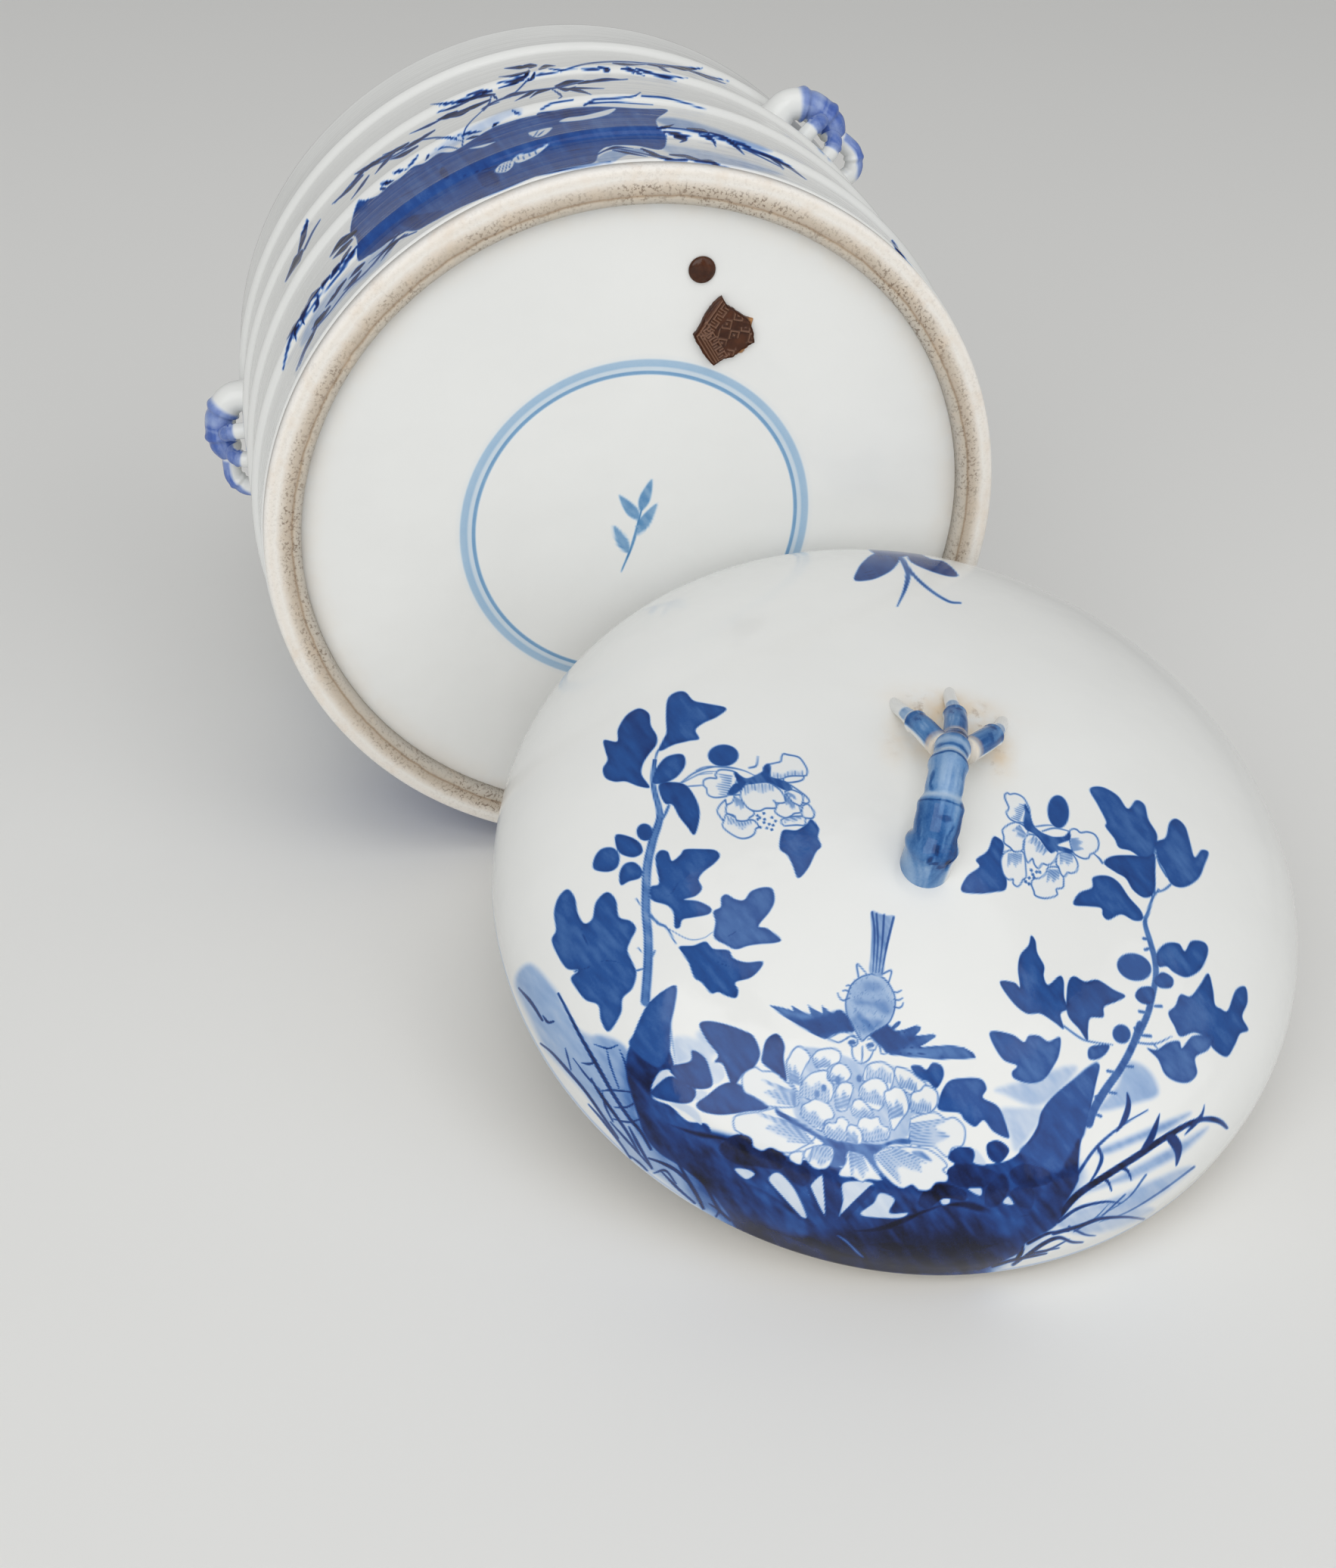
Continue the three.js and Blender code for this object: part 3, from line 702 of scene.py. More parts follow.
def buildFoot():
    inner, outer = foot["inner"], foot["outer"]
    profile = [(inner, foot["height"]), (inner, 1.6), (inner + 0.25, 0.8), (inner + 0.9, 0.25), (inner + 1.8, 0)]
    profile += [(r, 0.16 * math.exp(-(((r - foot["groove"]) / 0.5) ** 2)))
                for r in np.arange(inner + 2.2, outer - 1.9, 0.25)]
    profile += [(outer - 1.4, 0.0), (outer - 0.7, 0.3), (outer - 0.2, 0.9), (outer, 1.7), (outer, foot["height"])]
    points, quads, tris, _ = turn(profile, allRound(foot["segments"]), closed=True)
    x, y, z = points.T
    r = np.hypot(x, y)
    along = np.arctan2(y, x) * foot["wayRound"]
    wear = 0.6 * cloud(along, r, 5, 41) + 0.4 * cloud(along, r, 1.7, 43) - 0.5
    across = (r - inner) / (outer - inner)
    z = z + np.where(z < 0.4, 0.08 * cloud(along, r, 3.2, 42), 0)
    piece = makePiece("footRing", potToWorld(np.column_stack([x, y, z])), quads, tris,
                      {"across": np.clip(across + 0.06 * wear, 0, 1)})
    settle(piece, "container", ["foot_ring"], footMaterial())


buildFoot()
print("foot ring turned")


# Lid: painted dome
dome = {
    "radius": 115.0, "height": 57.0, "rim": 6.0, "wall": 5.0, "curve": 2.25, "seat": 105.6, "lap": 8.0,
    "segments": (1300, 260), "painted": -90, "paintedShare": 0.72, "step": 0.42,
    "rimLine": {"height": 2.2, "half": 0.7, "tone": 0.24, "from": 113},
}


def domeLine(radius, low, high, steps):
    a = np.linspace(0, math.pi / 2, 4000)
    power = 2 / dome["curve"]
    path = evenly(np.column_stack([radius * np.cos(a) ** power, low + (high - low) * np.sin(a) ** power]), steps)
    path[-1, 0] = 0
    return [tuple(p) for p in path]


# The lid's oval as the camera sees it and as it is drawn: middles, turning and scale from one to the other
lidGuide = {"seen": (1182.6, 1206.6), "drawn": (1188.9, 1239.0), "across": (0.969, -0.031), "down": (-0.027, 0.948),
            "middle": 1189, "level": 1240, "grain": 4.43}


def onLid(p):  # points in m, to mm on the drawn face
    away = pictureSpot(p) - lidGuide["seen"]
    across = lidGuide["drawn"][0] + away @ np.array(lidGuide["across"])
    down = lidGuide["drawn"][1] + away @ np.array(lidGuide["down"])
    return (across - lidGuide["middle"]) / lidGuide["grain"], (lidGuide["level"] - down) / lidGuide["grain"]


# Sketches of the painting, each with its corner in mm on the face of the lid and its units in a mm
leftSketch = sketchOn((-110.38, 63.21), 13.892)
rightSketch = sketchOn((-8.80, 63.21), 12.187)
lowLeftSketch = sketchOn((-92.33, -13.54), 14.779)
lowRightSketch = sketchOn((2.48, -2.26), 13.358)
topSketch = sketchOn((-38.15, 119.90), 14.470)

leftLeaves = [
    [648, 62, 680, 33, 720, 30, 752, 62, 800, 72, 882, 88, 848, 122, 790, 150, 757, 178, 770, 212, 728, 222,
     668, 238, 620, 262, 606, 258, 628, 215, 640, 190, 640, 130],
    [540, 100, 572, 120, 578, 165, 600, 205, 597, 240, 565, 280, 540, 320, 535, 360, 565, 408, 520, 405, 470, 388,
     425, 390, 388, 375, 380, 340, 400, 305, 392, 270, 388, 228, 440, 232, 445, 185, 475, 135, 510, 108],
    [700, 275, 712, 310, 690, 350, 650, 380, 585, 395, 578, 370, 600, 325, 640, 285],
    [605, 395, 655, 385, 710, 395, 745, 440, 762, 490, 758, 540, 738, 590, 712, 560, 680, 520, 655, 475, 625, 470,
     605, 430],
    [425, 598, 480, 605, 520, 630, 527, 665, 490, 685, 440, 672, 422, 640],
    [330, 735, 335, 690, 365, 655, 410, 650, 435, 680, 425, 725, 385, 745],
    [437, 795, 433, 750, 455, 712, 495, 705, 525, 735, 515, 765, 470, 780],
    [600, 655, 630, 660, 645, 695, 680, 670, 700, 648, 770, 645, 820, 648, 838, 670, 815, 700, 770, 735, 750, 765,
     762, 800, 735, 830, 690, 845, 745, 850, 795, 875, 785, 900, 720, 915, 680, 925, 668, 955, 648, 955, 645, 900,
     620, 870, 560, 850, 555, 800, 590, 785, 582, 720, 580, 680],
    [860, 820, 895, 838, 930, 840, 960, 805, 1010, 788, 1045, 795, 1052, 840, 1030, 885, 985, 940, 1020, 950,
     1072, 990, 1050, 1005, 985, 1012, 940, 1020, 890, 1035, 850, 1018, 805, 990, 812, 930, 805, 890, 835, 870,
     838, 835],
    [665, 1030, 720, 1025, 770, 1008, 800, 1035, 860, 1040, 880, 1070, 930, 1085, 995, 1080, 985, 1110, 945, 1145,
     885, 1165, 895, 1195, 885, 1225, 850, 1220, 815, 1205, 785, 1210, 750, 1170, 720, 1150, 700, 1095, 675, 1055],
    [222, 818, 250, 850, 260, 910, 285, 950, 318, 930, 335, 865, 380, 825, 415, 855, 425, 920, 470, 935, 492, 965,
     470, 1010, 455, 1050, 470, 1090, 488, 1140, 470, 1200, 430, 1240, 420, 1300, 370, 1372, 340, 1330, 330, 1270,
     280, 1250, 240, 1200, 225, 1165, 255, 1135, 210, 1130, 175, 1080, 152, 1020, 170, 980, 165, 910, 185, 850],
    [1210, 515, 1240, 550, 1235, 585, 1247, 620, 1225, 645, 1190, 710, 1150, 748, 1130, 700, 1110, 660, 1080, 635,
     1085, 585, 1100, 560, 1150, 560, 1190, 535],
]
rightLeaves = [
    [808, 322, 850, 312, 905, 340, 940, 385, 970, 355, 1000, 370, 1012, 420, 1040, 470, 1035, 510, 1020, 560,
     985, 555, 945, 530, 905, 520, 890, 490, 860, 450, 862, 430, 835, 375],
    [1110, 415, 1140, 440, 1155, 490, 1170, 545, 1195, 520, 1220, 528, 1205, 570, 1180, 620, 1130, 650, 1085, 640,
     1060, 590, 1040, 555, 1035, 500, 1070, 480, 1085, 430],
    [850, 575, 880, 550, 950, 545, 1000, 550, 1030, 540, 1030, 600, 1025, 670, 990, 690, 950, 665, 925, 625,
     890, 605],
    [738, 720, 760, 680, 805, 660, 810, 625, 860, 618, 900, 640, 935, 690, 975, 735, 980, 765, 950, 770, 905, 750,
     860, 770, 840, 755, 835, 730, 790, 725],
    [1025, 880, 1060, 845, 1105, 845, 1125, 870, 1150, 835, 1195, 838, 1207, 870, 1180, 930, 1130, 960, 1085, 945,
     1060, 925, 1030, 925],
    [1015, 965, 1045, 945, 1080, 965, 1075, 995, 1040, 1000, 1015, 985],
    [945, 1030, 965, 1000, 1010, 1000, 1010, 1050, 970, 1055],
    [585, 832, 600, 850, 605, 890, 628, 935, 625, 970, 640, 1000, 680, 968, 695, 985, 695, 1040, 705, 1080,
     680, 1100, 690, 1150, 660, 1130, 610, 1100, 560, 1100, 510, 1060, 470, 995, 520, 995, 540, 1010, 535, 950,
     545, 900, 575, 865],
    [735, 968, 770, 985, 815, 978, 870, 1010, 910, 1030, 880, 1050, 835, 1070, 830, 1105, 785, 1110, 775, 1150,
     772, 1190, 745, 1150, 705, 1100, 705, 1020, 715, 980],
    [775, 1250, 780, 1210, 845, 1200, 840, 1225, 810, 1250],
    [1205, 945, 1220, 1000, 1225, 1050, 1245, 1065, 1270, 1070, 1300, 1000, 1335, 988, 1340, 1040, 1320, 1090,
     1340, 1135, 1310, 1150, 1290, 1190, 1260, 1230, 1215, 1205, 1195, 1170, 1150, 1150, 1100, 1165, 1080, 1130,
     1060, 1085, 1085, 1060, 1105, 1020, 1140, 1025, 1175, 985],
    [345, 685, 365, 635, 410, 600, 400, 575, 440, 545, 460, 500, 475, 495, 500, 520, 490, 580, 505, 630, 500, 675,
     460, 685, 410, 692],
]
lowRightLeaves = [
    [925, 450, 960, 455, 1010, 425, 1050, 420, 1060, 445, 1100, 400, 1150, 395, 1185, 400, 1160, 450, 1110, 480,
     1115, 540, 1080, 575, 1030, 572, 990, 545, 965, 490],
    [318, 410, 350, 402, 410, 415, 450, 440, 470, 415, 510, 415, 545, 435, 590, 418, 585, 480, 560, 530, 520, 580,
     470, 595, 410, 580, 400, 555, 420, 530, 370, 510, 335, 460],
    [10, 545, 45, 540, 70, 555, 95, 528, 130, 540, 135, 580, 105, 625, 75, 600, 40, 590],
    [110, 680, 150, 600, 220, 582, 280, 585, 300, 620, 285, 655, 345, 690, 378, 780, 375, 805, 320, 780, 285, 740,
     250, 765, 210, 740, 190, 715, 120, 708],
]
lowLeftLeaves = [
    [515, 285, 560, 270, 640, 285, 700, 305, 745, 330, 770, 400, 740, 460, 700, 480, 650, 535, 610, 450, 575, 440,
     590, 410, 545, 350],
    [780, 400, 800, 340, 845, 315, 875, 360, 870, 420, 880, 510, 840, 480, 780, 440],
    [380, 470, 470, 440, 480, 395, 530, 420, 555, 480, 560, 540, 500, 555, 430, 530],
    [540, 580, 600, 535, 660, 525, 740, 570, 800, 625, 700, 645, 600, 660, 520, 650, 490, 620],
    [300, 585, 340, 530, 390, 505, 450, 540, 490, 560, 470, 610, 400, 615],
]


def paintSprays(sheet):
    dice = np.random.default_rng(8)
    for sketch, leaves in ((leftSketch, leftLeaves), (rightSketch, rightLeaves), (lowRightSketch, lowRightLeaves)):
        for leaf in leaves:
            fill(sheet, sketch(leaf), 0.68 + dice.uniform(-0.05, 0.05), mottle=0.09, pool=0.12)
    for centre, across, up, lean in (((865, 275), 62, 43, -6), ((540, 585), 33, 34, 0)):
        fill(sheet, leftSketch(oval(centre, across, up, lean)), 0.72, mottle=0.06)
    for centre, across, up, lean in (((945, 930), 61, 47, 12), ((893, 1162), 32, 33, 0), ((695, 402), 38, 57, 0)):
        fill(sheet, rightSketch(oval(centre, across, up, lean)), 0.7, mottle=0.06)
    # vein marks where one leaf lies over another
    for vein in (
        [270, 950, 285, 1010, 330, 1090], [330, 1100, 400, 1095, 460, 1130], [240, 1140, 300, 1120, 330, 1090],
        [680, 760, 640, 820, 600, 850], [900, 960, 870, 980, 830, 1000], [800, 1080, 850, 1100, 930, 1120],
    ):
        stroke(sheet, leftSketch(vein), 0.7, 0.82, soft=0.8)
    # stems, darker at their edges
    mainStem = [(590, 300), (580, 370), (586, 430), (603, 520), (570, 620), (546, 720), (538, 820), (535, 900),
                (540, 1000), (536, 1100), (520, 1250)]
    stroke(sheet, leftSketch(mainStem), 2.5, 0.5, ends=(0.3, 1.1), soft=0.5)
    for shift, tone in ((-14, 0.68), (12, 0.62)):
        edge = [(x + shift * min(1, y / 700), y) for x, y in mainStem]
        stroke(sheet, leftSketch(edge), 0.6, tone, ends=(0.7, 1))
    for twig, width in (
        ([640, 478, 625, 510, 604, 550], 0.9), ([540, 895, 580, 940, 615, 958, 650, 1020], 0.9),
        ([615, 958, 700, 1000, 760, 995, 800, 970], 0.25), ([497, 848, 520, 880], 0.5),
        ([565, 1050, 550, 1085], 0.5), ([490, 1130, 520, 1120], 0.6), ([497, 1040, 515, 1058], 0.4),
        ([690, 388, 750, 345, 830, 320, 920, 325, 990, 350], 0.5), ([700, 402, 770, 395, 800, 390], 0.4),
        ([700, 385, 780, 345, 830, 338], 0.35),
    ):
        stroke(sheet, leftSketch(twig), width, 0.58, ends=(0.9, 0.4))
    thornStem = [1040, 660, 1018, 690, 1000, 740, 988, 778, 1004, 840, 1018, 900, 1020, 960, 1005, 1030, 985, 1095,
        950, 1165, 905, 1250]
    stroke(sheet, rightSketch(thornStem), 1.6, 0.6, ends=(0.35, 1.3))
    lower = [900, 360, 870, 440, 820, 530, 760, 610, 710, 690, 690, 740]
    stroke(sheet, lowRightSketch(lower), 2.2, 0.66, ends=(0.9, 1.2))
    for thorn in (
        [960, 290, 985, 290], [925, 315, 900, 312], [900, 378, 880, 376], [905, 402, 940, 404], [840, 520, 868, 522],
        [800, 545, 770, 540], [770, 620, 800, 624], [735, 632, 720, 640], [948, 72, 930, 78], [945, 38, 925, 36],
        [720, 705, 738, 712],
    ):
        stroke(sheet, lowRightSketch(thorn), 0.9, 0.6, ends=(0.8, 1))
    for twig, width in (
        ([1085, 640, 1060, 660, 1028, 672], 0.7), ([1070, 615, 1045, 570, 1030, 520], 0.7),
        ([845, 575, 835, 560, 818, 545], 0.7), ([690, 1140, 740, 1175, 775, 1190, 860, 1200], 0.7),
        ([940, 1190, 1010, 1192, 1070, 1165], 0.6), ([1000, 1190, 1020, 1210], 0.5),
    ):
        stroke(sheet, rightSketch(twig), width, 0.58, ends=(0.9, 0.5))


def hatch(sheet, edge, reach, blush=0.15, flare=0.0, count=9):  # short brush lines from an edge into a petal
    starts = evenly(lineThrough(edge) if len(edge) > 2 else np.asarray(edge, float), count)
    lengths = 0.85 + 0.2 * np.cos(5 * np.arange(count))
    ends = starts + np.outer(lengths, reach) + flare * (starts - starts.mean(axis=0))
    fill(sheet, np.concatenate([starts, ends[::-1]]), blush, soft=1.4, mottle=0.05, smooth=False, over=True)
    for a, b in zip(starts, ends):
        stroke(sheet, [a, b], 0.5, 0.44, ends=(1, 0.5), soft=0.5)


def paintPetals(sheet, sketch, petals, blush=0.15, line=0.56, flare=0.0):
    for outline, edge, reach in petals:
        fill(sheet, sketch(outline), 0.02, soft=0.4, mottle=0)
        if edge:
            hatch(sheet, sketch(edge), reach, blush, flare)
        stroke(sheet, sketch(outline + outline[:2]), 0.5, line, ends=(0.9, 0.9))


# petals of the two blooms: outline, then the hatched edge and how far its lines reach, in mm
leftPetals = (
    ([868, 448, 844, 472, 834, 495, 847, 519, 859, 531, 880, 520, 872, 480], None, None),
    ([859, 531, 853, 549, 865, 567, 900, 590, 930, 599, 960, 593, 980, 578, 986, 560, 998, 549, 975, 525, 930, 530,
     900, 515, 871, 505], [876, 514, 905, 528, 930, 534, 966, 524], (0.1, -2.0)),
    ([905, 430, 895, 457, 874, 469, 869, 484, 871, 501, 900, 510, 909, 527, 930, 531, 954, 527, 963, 516, 977, 507,
     982, 495, 971, 486, 945, 465, 930, 430], [904, 436, 934, 452], (0.5, -2.6)),
    ([871, 436, 830, 441, 806, 436, 796, 425, 793, 407, 781, 392, 785, 374, 806, 365, 835, 365, 831, 352, 844, 334,
     871, 331, 906, 337, 918, 351, 905, 400], [896, 356, 880, 432], (-3.6, 0.5)),
    ([1050, 304, 1075, 298, 1094, 292, 1099, 274, 1108, 262, 1125, 265, 1164, 272, 1182, 288, 1199, 318, 1199, 337,
     1188, 346, 1134, 348, 1105, 358, 1072, 362, 1052, 350], [1066, 360, 1105, 356, 1180, 342], (0, 1.6)),
    ([1188, 346, 1179, 362, 1149, 371, 1112, 374, 1105, 358, 1134, 348], None, None),
    ([1102, 545, 1090, 534, 1093, 519, 1130, 508, 1180, 506, 1186, 520, 1182, 540, 1150, 540],
     [1105, 512, 1167, 503], (0, -1.4)),
    ([1131, 383, 1167, 407, 1193, 427, 1204, 445, 1194, 454, 1178, 448, 1176, 420, 1140, 404], None, None),
    ([1178, 463, 1173, 487, 1179, 507, 1196, 512, 1217, 510, 1223, 490, 1211, 469, 1196, 456], None, None),
    ([1108, 410, 1137, 451, 1164, 466, 1178, 448, 1176, 420, 1135, 402], [1118, 412, 1142, 424], (1.0, -1.4)),
    ([1137, 451, 1161, 463, 1167, 472, 1167, 490, 1143, 495, 1131, 504, 1108, 513, 1081, 504, 1066, 489, 1072, 472,
     1078, 460, 1107, 445, 1110, 420], [1107, 424, 1140, 452], (0.4, -2.5)),
    ([942, 390, 930, 419, 930, 439, 942, 460, 957, 478, 980, 489, 1007, 488, 1028, 478, 1066, 476, 1072, 463,
     1062, 446, 1072, 455, 1102, 454, 1108, 442, 1099, 418, 1081, 398, 1040, 376, 980, 380],
     [946, 392, 990, 384, 1060, 384], (0.1, -2.4)),
)
leftCalyx = [876, 426, 900, 389, 918, 379, 905, 345, 915, 339, 936, 354, 960, 361, 998, 345, 1020, 332, 1023, 317,
    1037, 303, 1050, 303, 1054, 321, 1049, 350, 1072, 359, 1099, 365, 1128, 380, 1130, 404, 1108, 405, 1078, 392,
    1048, 377, 1004, 380, 974, 385, 954, 383, 933, 407, 901, 430]
leftDots = [(995, 507), (1004, 515), (995, 522), (1020, 498), (1053, 513), (1066, 527), (1057, 543), (1040, 540),
            (1020, 534), (1023, 521), (1031, 555), (1050, 561), (1005, 553)]
rightPetals = (
    ([544, 442, 523, 431, 512, 411, 521, 395, 515, 377, 509, 362, 509, 349, 518, 342, 526, 347, 543, 344, 561, 349,
     576, 360, 587, 380, 594, 400, 590, 440], [556, 436, 578, 386], (-2.1, 0.7)),
    ([706, 620, 706, 643, 702, 663, 680, 670, 680, 690, 640, 702, 606, 694, 600, 678, 592, 654, 600, 637, 623, 632,
     643, 617, 655, 595, 690, 595], [655, 604, 692, 604], (-0.6, -3.3)),
    ([523, 539, 501, 548, 489, 570, 489, 599, 497, 626, 512, 641, 528, 639, 528, 654, 543, 664, 556, 652, 563, 639,
     574, 630, 574, 599, 572, 566, 563, 543], [516, 552, 560, 552], (-0.4, -3.4)),
    ([543, 442, 519, 451, 497, 470, 500, 493, 501, 515, 521, 530, 536, 544, 563, 539, 568, 519, 572, 502, 583, 486,
     585, 465, 562, 448], [556, 454, 577, 484], (-1.8, -1.4)),
    ([742, 548, 753, 566, 758, 586, 751, 606, 733, 613, 722, 611, 709, 625, 698, 617, 689, 592, 682, 583, 688, 550,
     715, 542], [698, 548, 738, 550], (0, -2.8)),
    ([731, 468, 744, 460, 758, 462, 771, 472, 795, 469, 820, 477, 833, 499, 831, 524, 818, 539, 804, 546, 795, 559,
     778, 561, 756, 552, 742, 539, 732, 500], [742, 534, 738, 496], (2.8, 0.5)),
    ([592, 482, 576, 493, 572, 513, 570, 533, 574, 561, 583, 581, 598, 566, 605, 586, 618, 599, 634, 583, 651, 587,
     671, 577, 686, 555, 686, 537, 656, 530, 622, 490], [608, 488, 650, 536], (-1.6, -1.8)),
)
rightCalyx = [576, 378, 587, 389, 598, 422, 609, 453, 632, 473, 658, 484, 680, 489, 711, 486, 725, 475, 733, 468,
    736, 488, 729, 500, 702, 510, 690, 519, 722, 526, 740, 535, 733, 546, 690, 537, 667, 546, 656, 539, 645, 526,
    623, 495, 603, 479, 578, 466, 570, 444, 576, 411]
rightDots = [(593, 606), (612, 612), (623, 612), (598, 621), (585, 633), (572, 646), (584, 654), (602, 632)]


def paintBlooms(sheet):
    for sketch, petals, calyx, dots in ((leftSketch, leftPetals, leftCalyx, leftDots),
                                        (rightSketch, rightPetals, rightCalyx, rightDots)):
        paintPetals(sheet, sketch, petals)
        fill(sheet, sketch(calyx), 0.64, soft=0.5, mottle=0.24)
        for dot in dots:
            fill(sheet, sketch(oval(dot, 6, 6, count=6)), 0.6, soft=0.35)
    # stem lines and bracts
    for sketch, line, width, tone in (
        (leftSketch, [753, 339, 782, 325, 824, 320, 900, 324, 948, 333, 986, 349], 0.5, 0.5),
        (leftSketch, [753, 355, 788, 349, 820, 346], 0.4, 0.42),
        (leftSketch, [968, 321, 996, 311, 1004, 275], 0.6, 0.55),
        (leftSketch, [610, 255, 598, 275, 590, 305], 0.6, 0.6),
        (rightSketch, [612, 456, 650, 450, 682, 450], 0.5, 0.5),
        (rightSketch, [636, 471, 680, 459, 732, 468], 0.5, 0.55),
    ):
        stroke(sheet, sketch(line), width, tone, ends=(0.9, 0.6))


def paintRocks(sheet):
    low, right = lowLeftSketch, lowRightSketch
    # pale washes
    for sketch, wash, tone in (
        (low, [-268, 128, -200, 52, -100, 150, -60, 222, 0, 322, 110, 362, 200, 402, 205, 520, 225, 660, 280, 775,
         400, 870, 520, 960, 622, 1092, 500, 1050, 420, 1005, 320, 925, 200, 850, 110, 722, 30, 605, -60, 505,
         -150, 400, -215, 270], 0.3),
        (low, [60, 350, 190, 385, 200, 520, 225, 660, 300, 800, 200, 700, 110, 520], 0.36),
        (low, [400, 350, 470, 340, 540, 380, 560, 460, 470, 440, 410, 450], 0.16),
        (low, [500, 330, 560, 300, 640, 300, 560, 420], 0.16),
        (right, [335, 622, 430, 590, 600, 530, 650, 540, 560, 640, 480, 680, 370, 640], 0.24),
        (right, [730, 690, 800, 600, 850, 505, 930, 535, 962, 620, 870, 660], 0.3),
        (right, [350, 700, 420, 690, 520, 700, 440, 820, 400, 850, 380, 780], 0.18),
        (right, [720, 842, 860, 780, 1000, 720, 1085, 690, 1000, 752, 880, 802, 760, 852], 0.36),
        (right, [650, 1010, 760, 955, 900, 880, 1040, 805, 1150, 742, 1060, 832, 980, 882, 860, 942, 760, 972],
         0.32),
        (right, [620, 1082, 780, 1020, 900, 962, 1040, 902, 1082, 902, 960, 1002, 820, 1080, 700, 1112], 0.28),
        (right, [560, 1120, 700, 1062, 860, 1052, 930, 1062, 800, 1130, 640, 1160], 0.22),
    ):
        fill(sheet, sketch(wash), tone, soft=2.2, mottle=0.08)
    # grasses on the left
    for blade, width in (
        ([-252, 155, -200, 215, -156, 286], 1.1), ([-152, 268, -132, 294, -108, 290], 0.9),
        ([-166, 384, -120, 420, -60, 486, 20, 580, 90, 680, 152, 770], 1.0),
        ([-84, 172, -40, 260, 0, 340, 50, 430, 100, 520, 140, 592, 200, 682, 250, 742, 290, 812], 1.3),
        ([60, 380, 120, 396, 160, 382], 0.6), ([8, 460, 42, 463, 70, 450], 0.8),
        ([115, 400, 130, 470, 162, 562], 0.6), ([45, 525, 70, 570, 120, 642, 190, 742, 240, 832], 1.1),
        ([80, 575, 140, 570, 216, 576], 0.7), ([140, 642, 190, 640, 222, 624], 0.7),
        ([90, 580, 102, 640, 132, 702], 0.7), ([-62, 398, -52, 440, -40, 490], 0.6),
        ([30, 632, 90, 700, 160, 790, 202, 852], 0.8), ([130, 690, 200, 702, 242, 690], 0.7),
        ([120, 702, 200, 790, 282, 880], 0.8), ([200, 722, 240, 800, 292, 892], 1.1),
        ([280, 850, 340, 870, 400, 902, 460, 962, 500, 1032], 1.2),
        ([400, 860, 440, 930, 480, 1000, 506, 1052], 1.3), ([300, 912, 350, 900, 392, 952], 0.8),
        ([330, 902, 400, 972, 470, 1032], 0.9), ([470, 902, 520, 962, 570, 1052, 620, 1100], 1.1),
        ([530, 1032, 572, 1060, 560, 1085], 0.8), ([200, 842, 240, 872, 272, 902], 0.7),
        ([-30, 440, 30, 520, 80, 570], 0.6), ([170, 400, 190, 450, 200, 500], 0.6),
    ):
        stroke(sheet, low(blade), width, 0.86, ends=(0.5, 0.7), soft=0.5)
    # bamboo branch and grasses on the right
    for branch, width, tone in (
        ([565, 1090, 640, 1010, 760, 930, 870, 860, 960, 800, 1060, 740, 1120, 715, 1180, 710, 1222, 742], 1.9,
         0.95),
        ([640, 935, 700, 850, 760, 790, 840, 730, 920, 684], 0.9, 0.7),
        ([722, 828, 736, 870, 716, 920, 688, 962], 1.1, 0.78), ([735, 945, 758, 960, 770, 992], 1.0, 0.85),
        ([805, 903, 834, 915, 848, 950], 1.0, 0.82), ([822, 1005, 740, 1080, 700, 1112], 0.6, 0.66),
        ([905, 928, 830, 1020, 700, 1102], 0.6, 0.62), ([1092, 893, 960, 990, 830, 1070, 720, 1112], 0.7, 0.6),
        ([560, 1116, 640, 1062, 740, 1035, 802, 1038], 0.9, 0.84),
        ([540, 1160, 640, 1130, 720, 1100, 820, 1090, 892, 1096], 1.1, 0.9),
        ([600, 1132, 660, 1160, 702, 1164], 0.7, 0.8), ([620, 1150, 700, 1100, 760, 1040], 0.6, 0.66),
        ([430, 1250, 500, 1200, 560, 1175, 610, 1190, 652, 1190], 1.1, 0.93),
        ([415, 1195, 412, 1235, 390, 1266], 1.6, 0.99), ([300, 1290, 380, 1265, 470, 1245, 512, 1236], 0.9, 0.93),
        ([380, 1282, 450, 1240, 560, 1214], 0.8, 0.9), ([245, 1300, 330, 1268, 400, 1230], 1.0, 0.95),
        ([440, 1200, 520, 1160, 600, 1150], 0.9, 0.93), ([455, 1240, 520, 1222, 600, 1180], 0.7, 0.85),
    ):
        stroke(sheet, right(branch), width, tone, ends=(1, 0.4), soft=0.5)
    for leaf in (
        [985, 785, 1020, 772, 1046, 808, 1042, 852, 1022, 893, 1018, 840],
        [890, 832, 920, 780, 950, 722, 966, 698, 950, 772, 925, 815],
        [795, 772, 815, 725, 836, 668, 842, 618, 856, 664, 840, 722],
        [1058, 776, 1090, 730, 1125, 690, 1140, 655, 1126, 712],
        [1110, 718, 1170, 703, 1208, 715, 1228, 746, 1180, 724],
    ):
        fill(sheet, right(leaf), 0.84, soft=0.5)
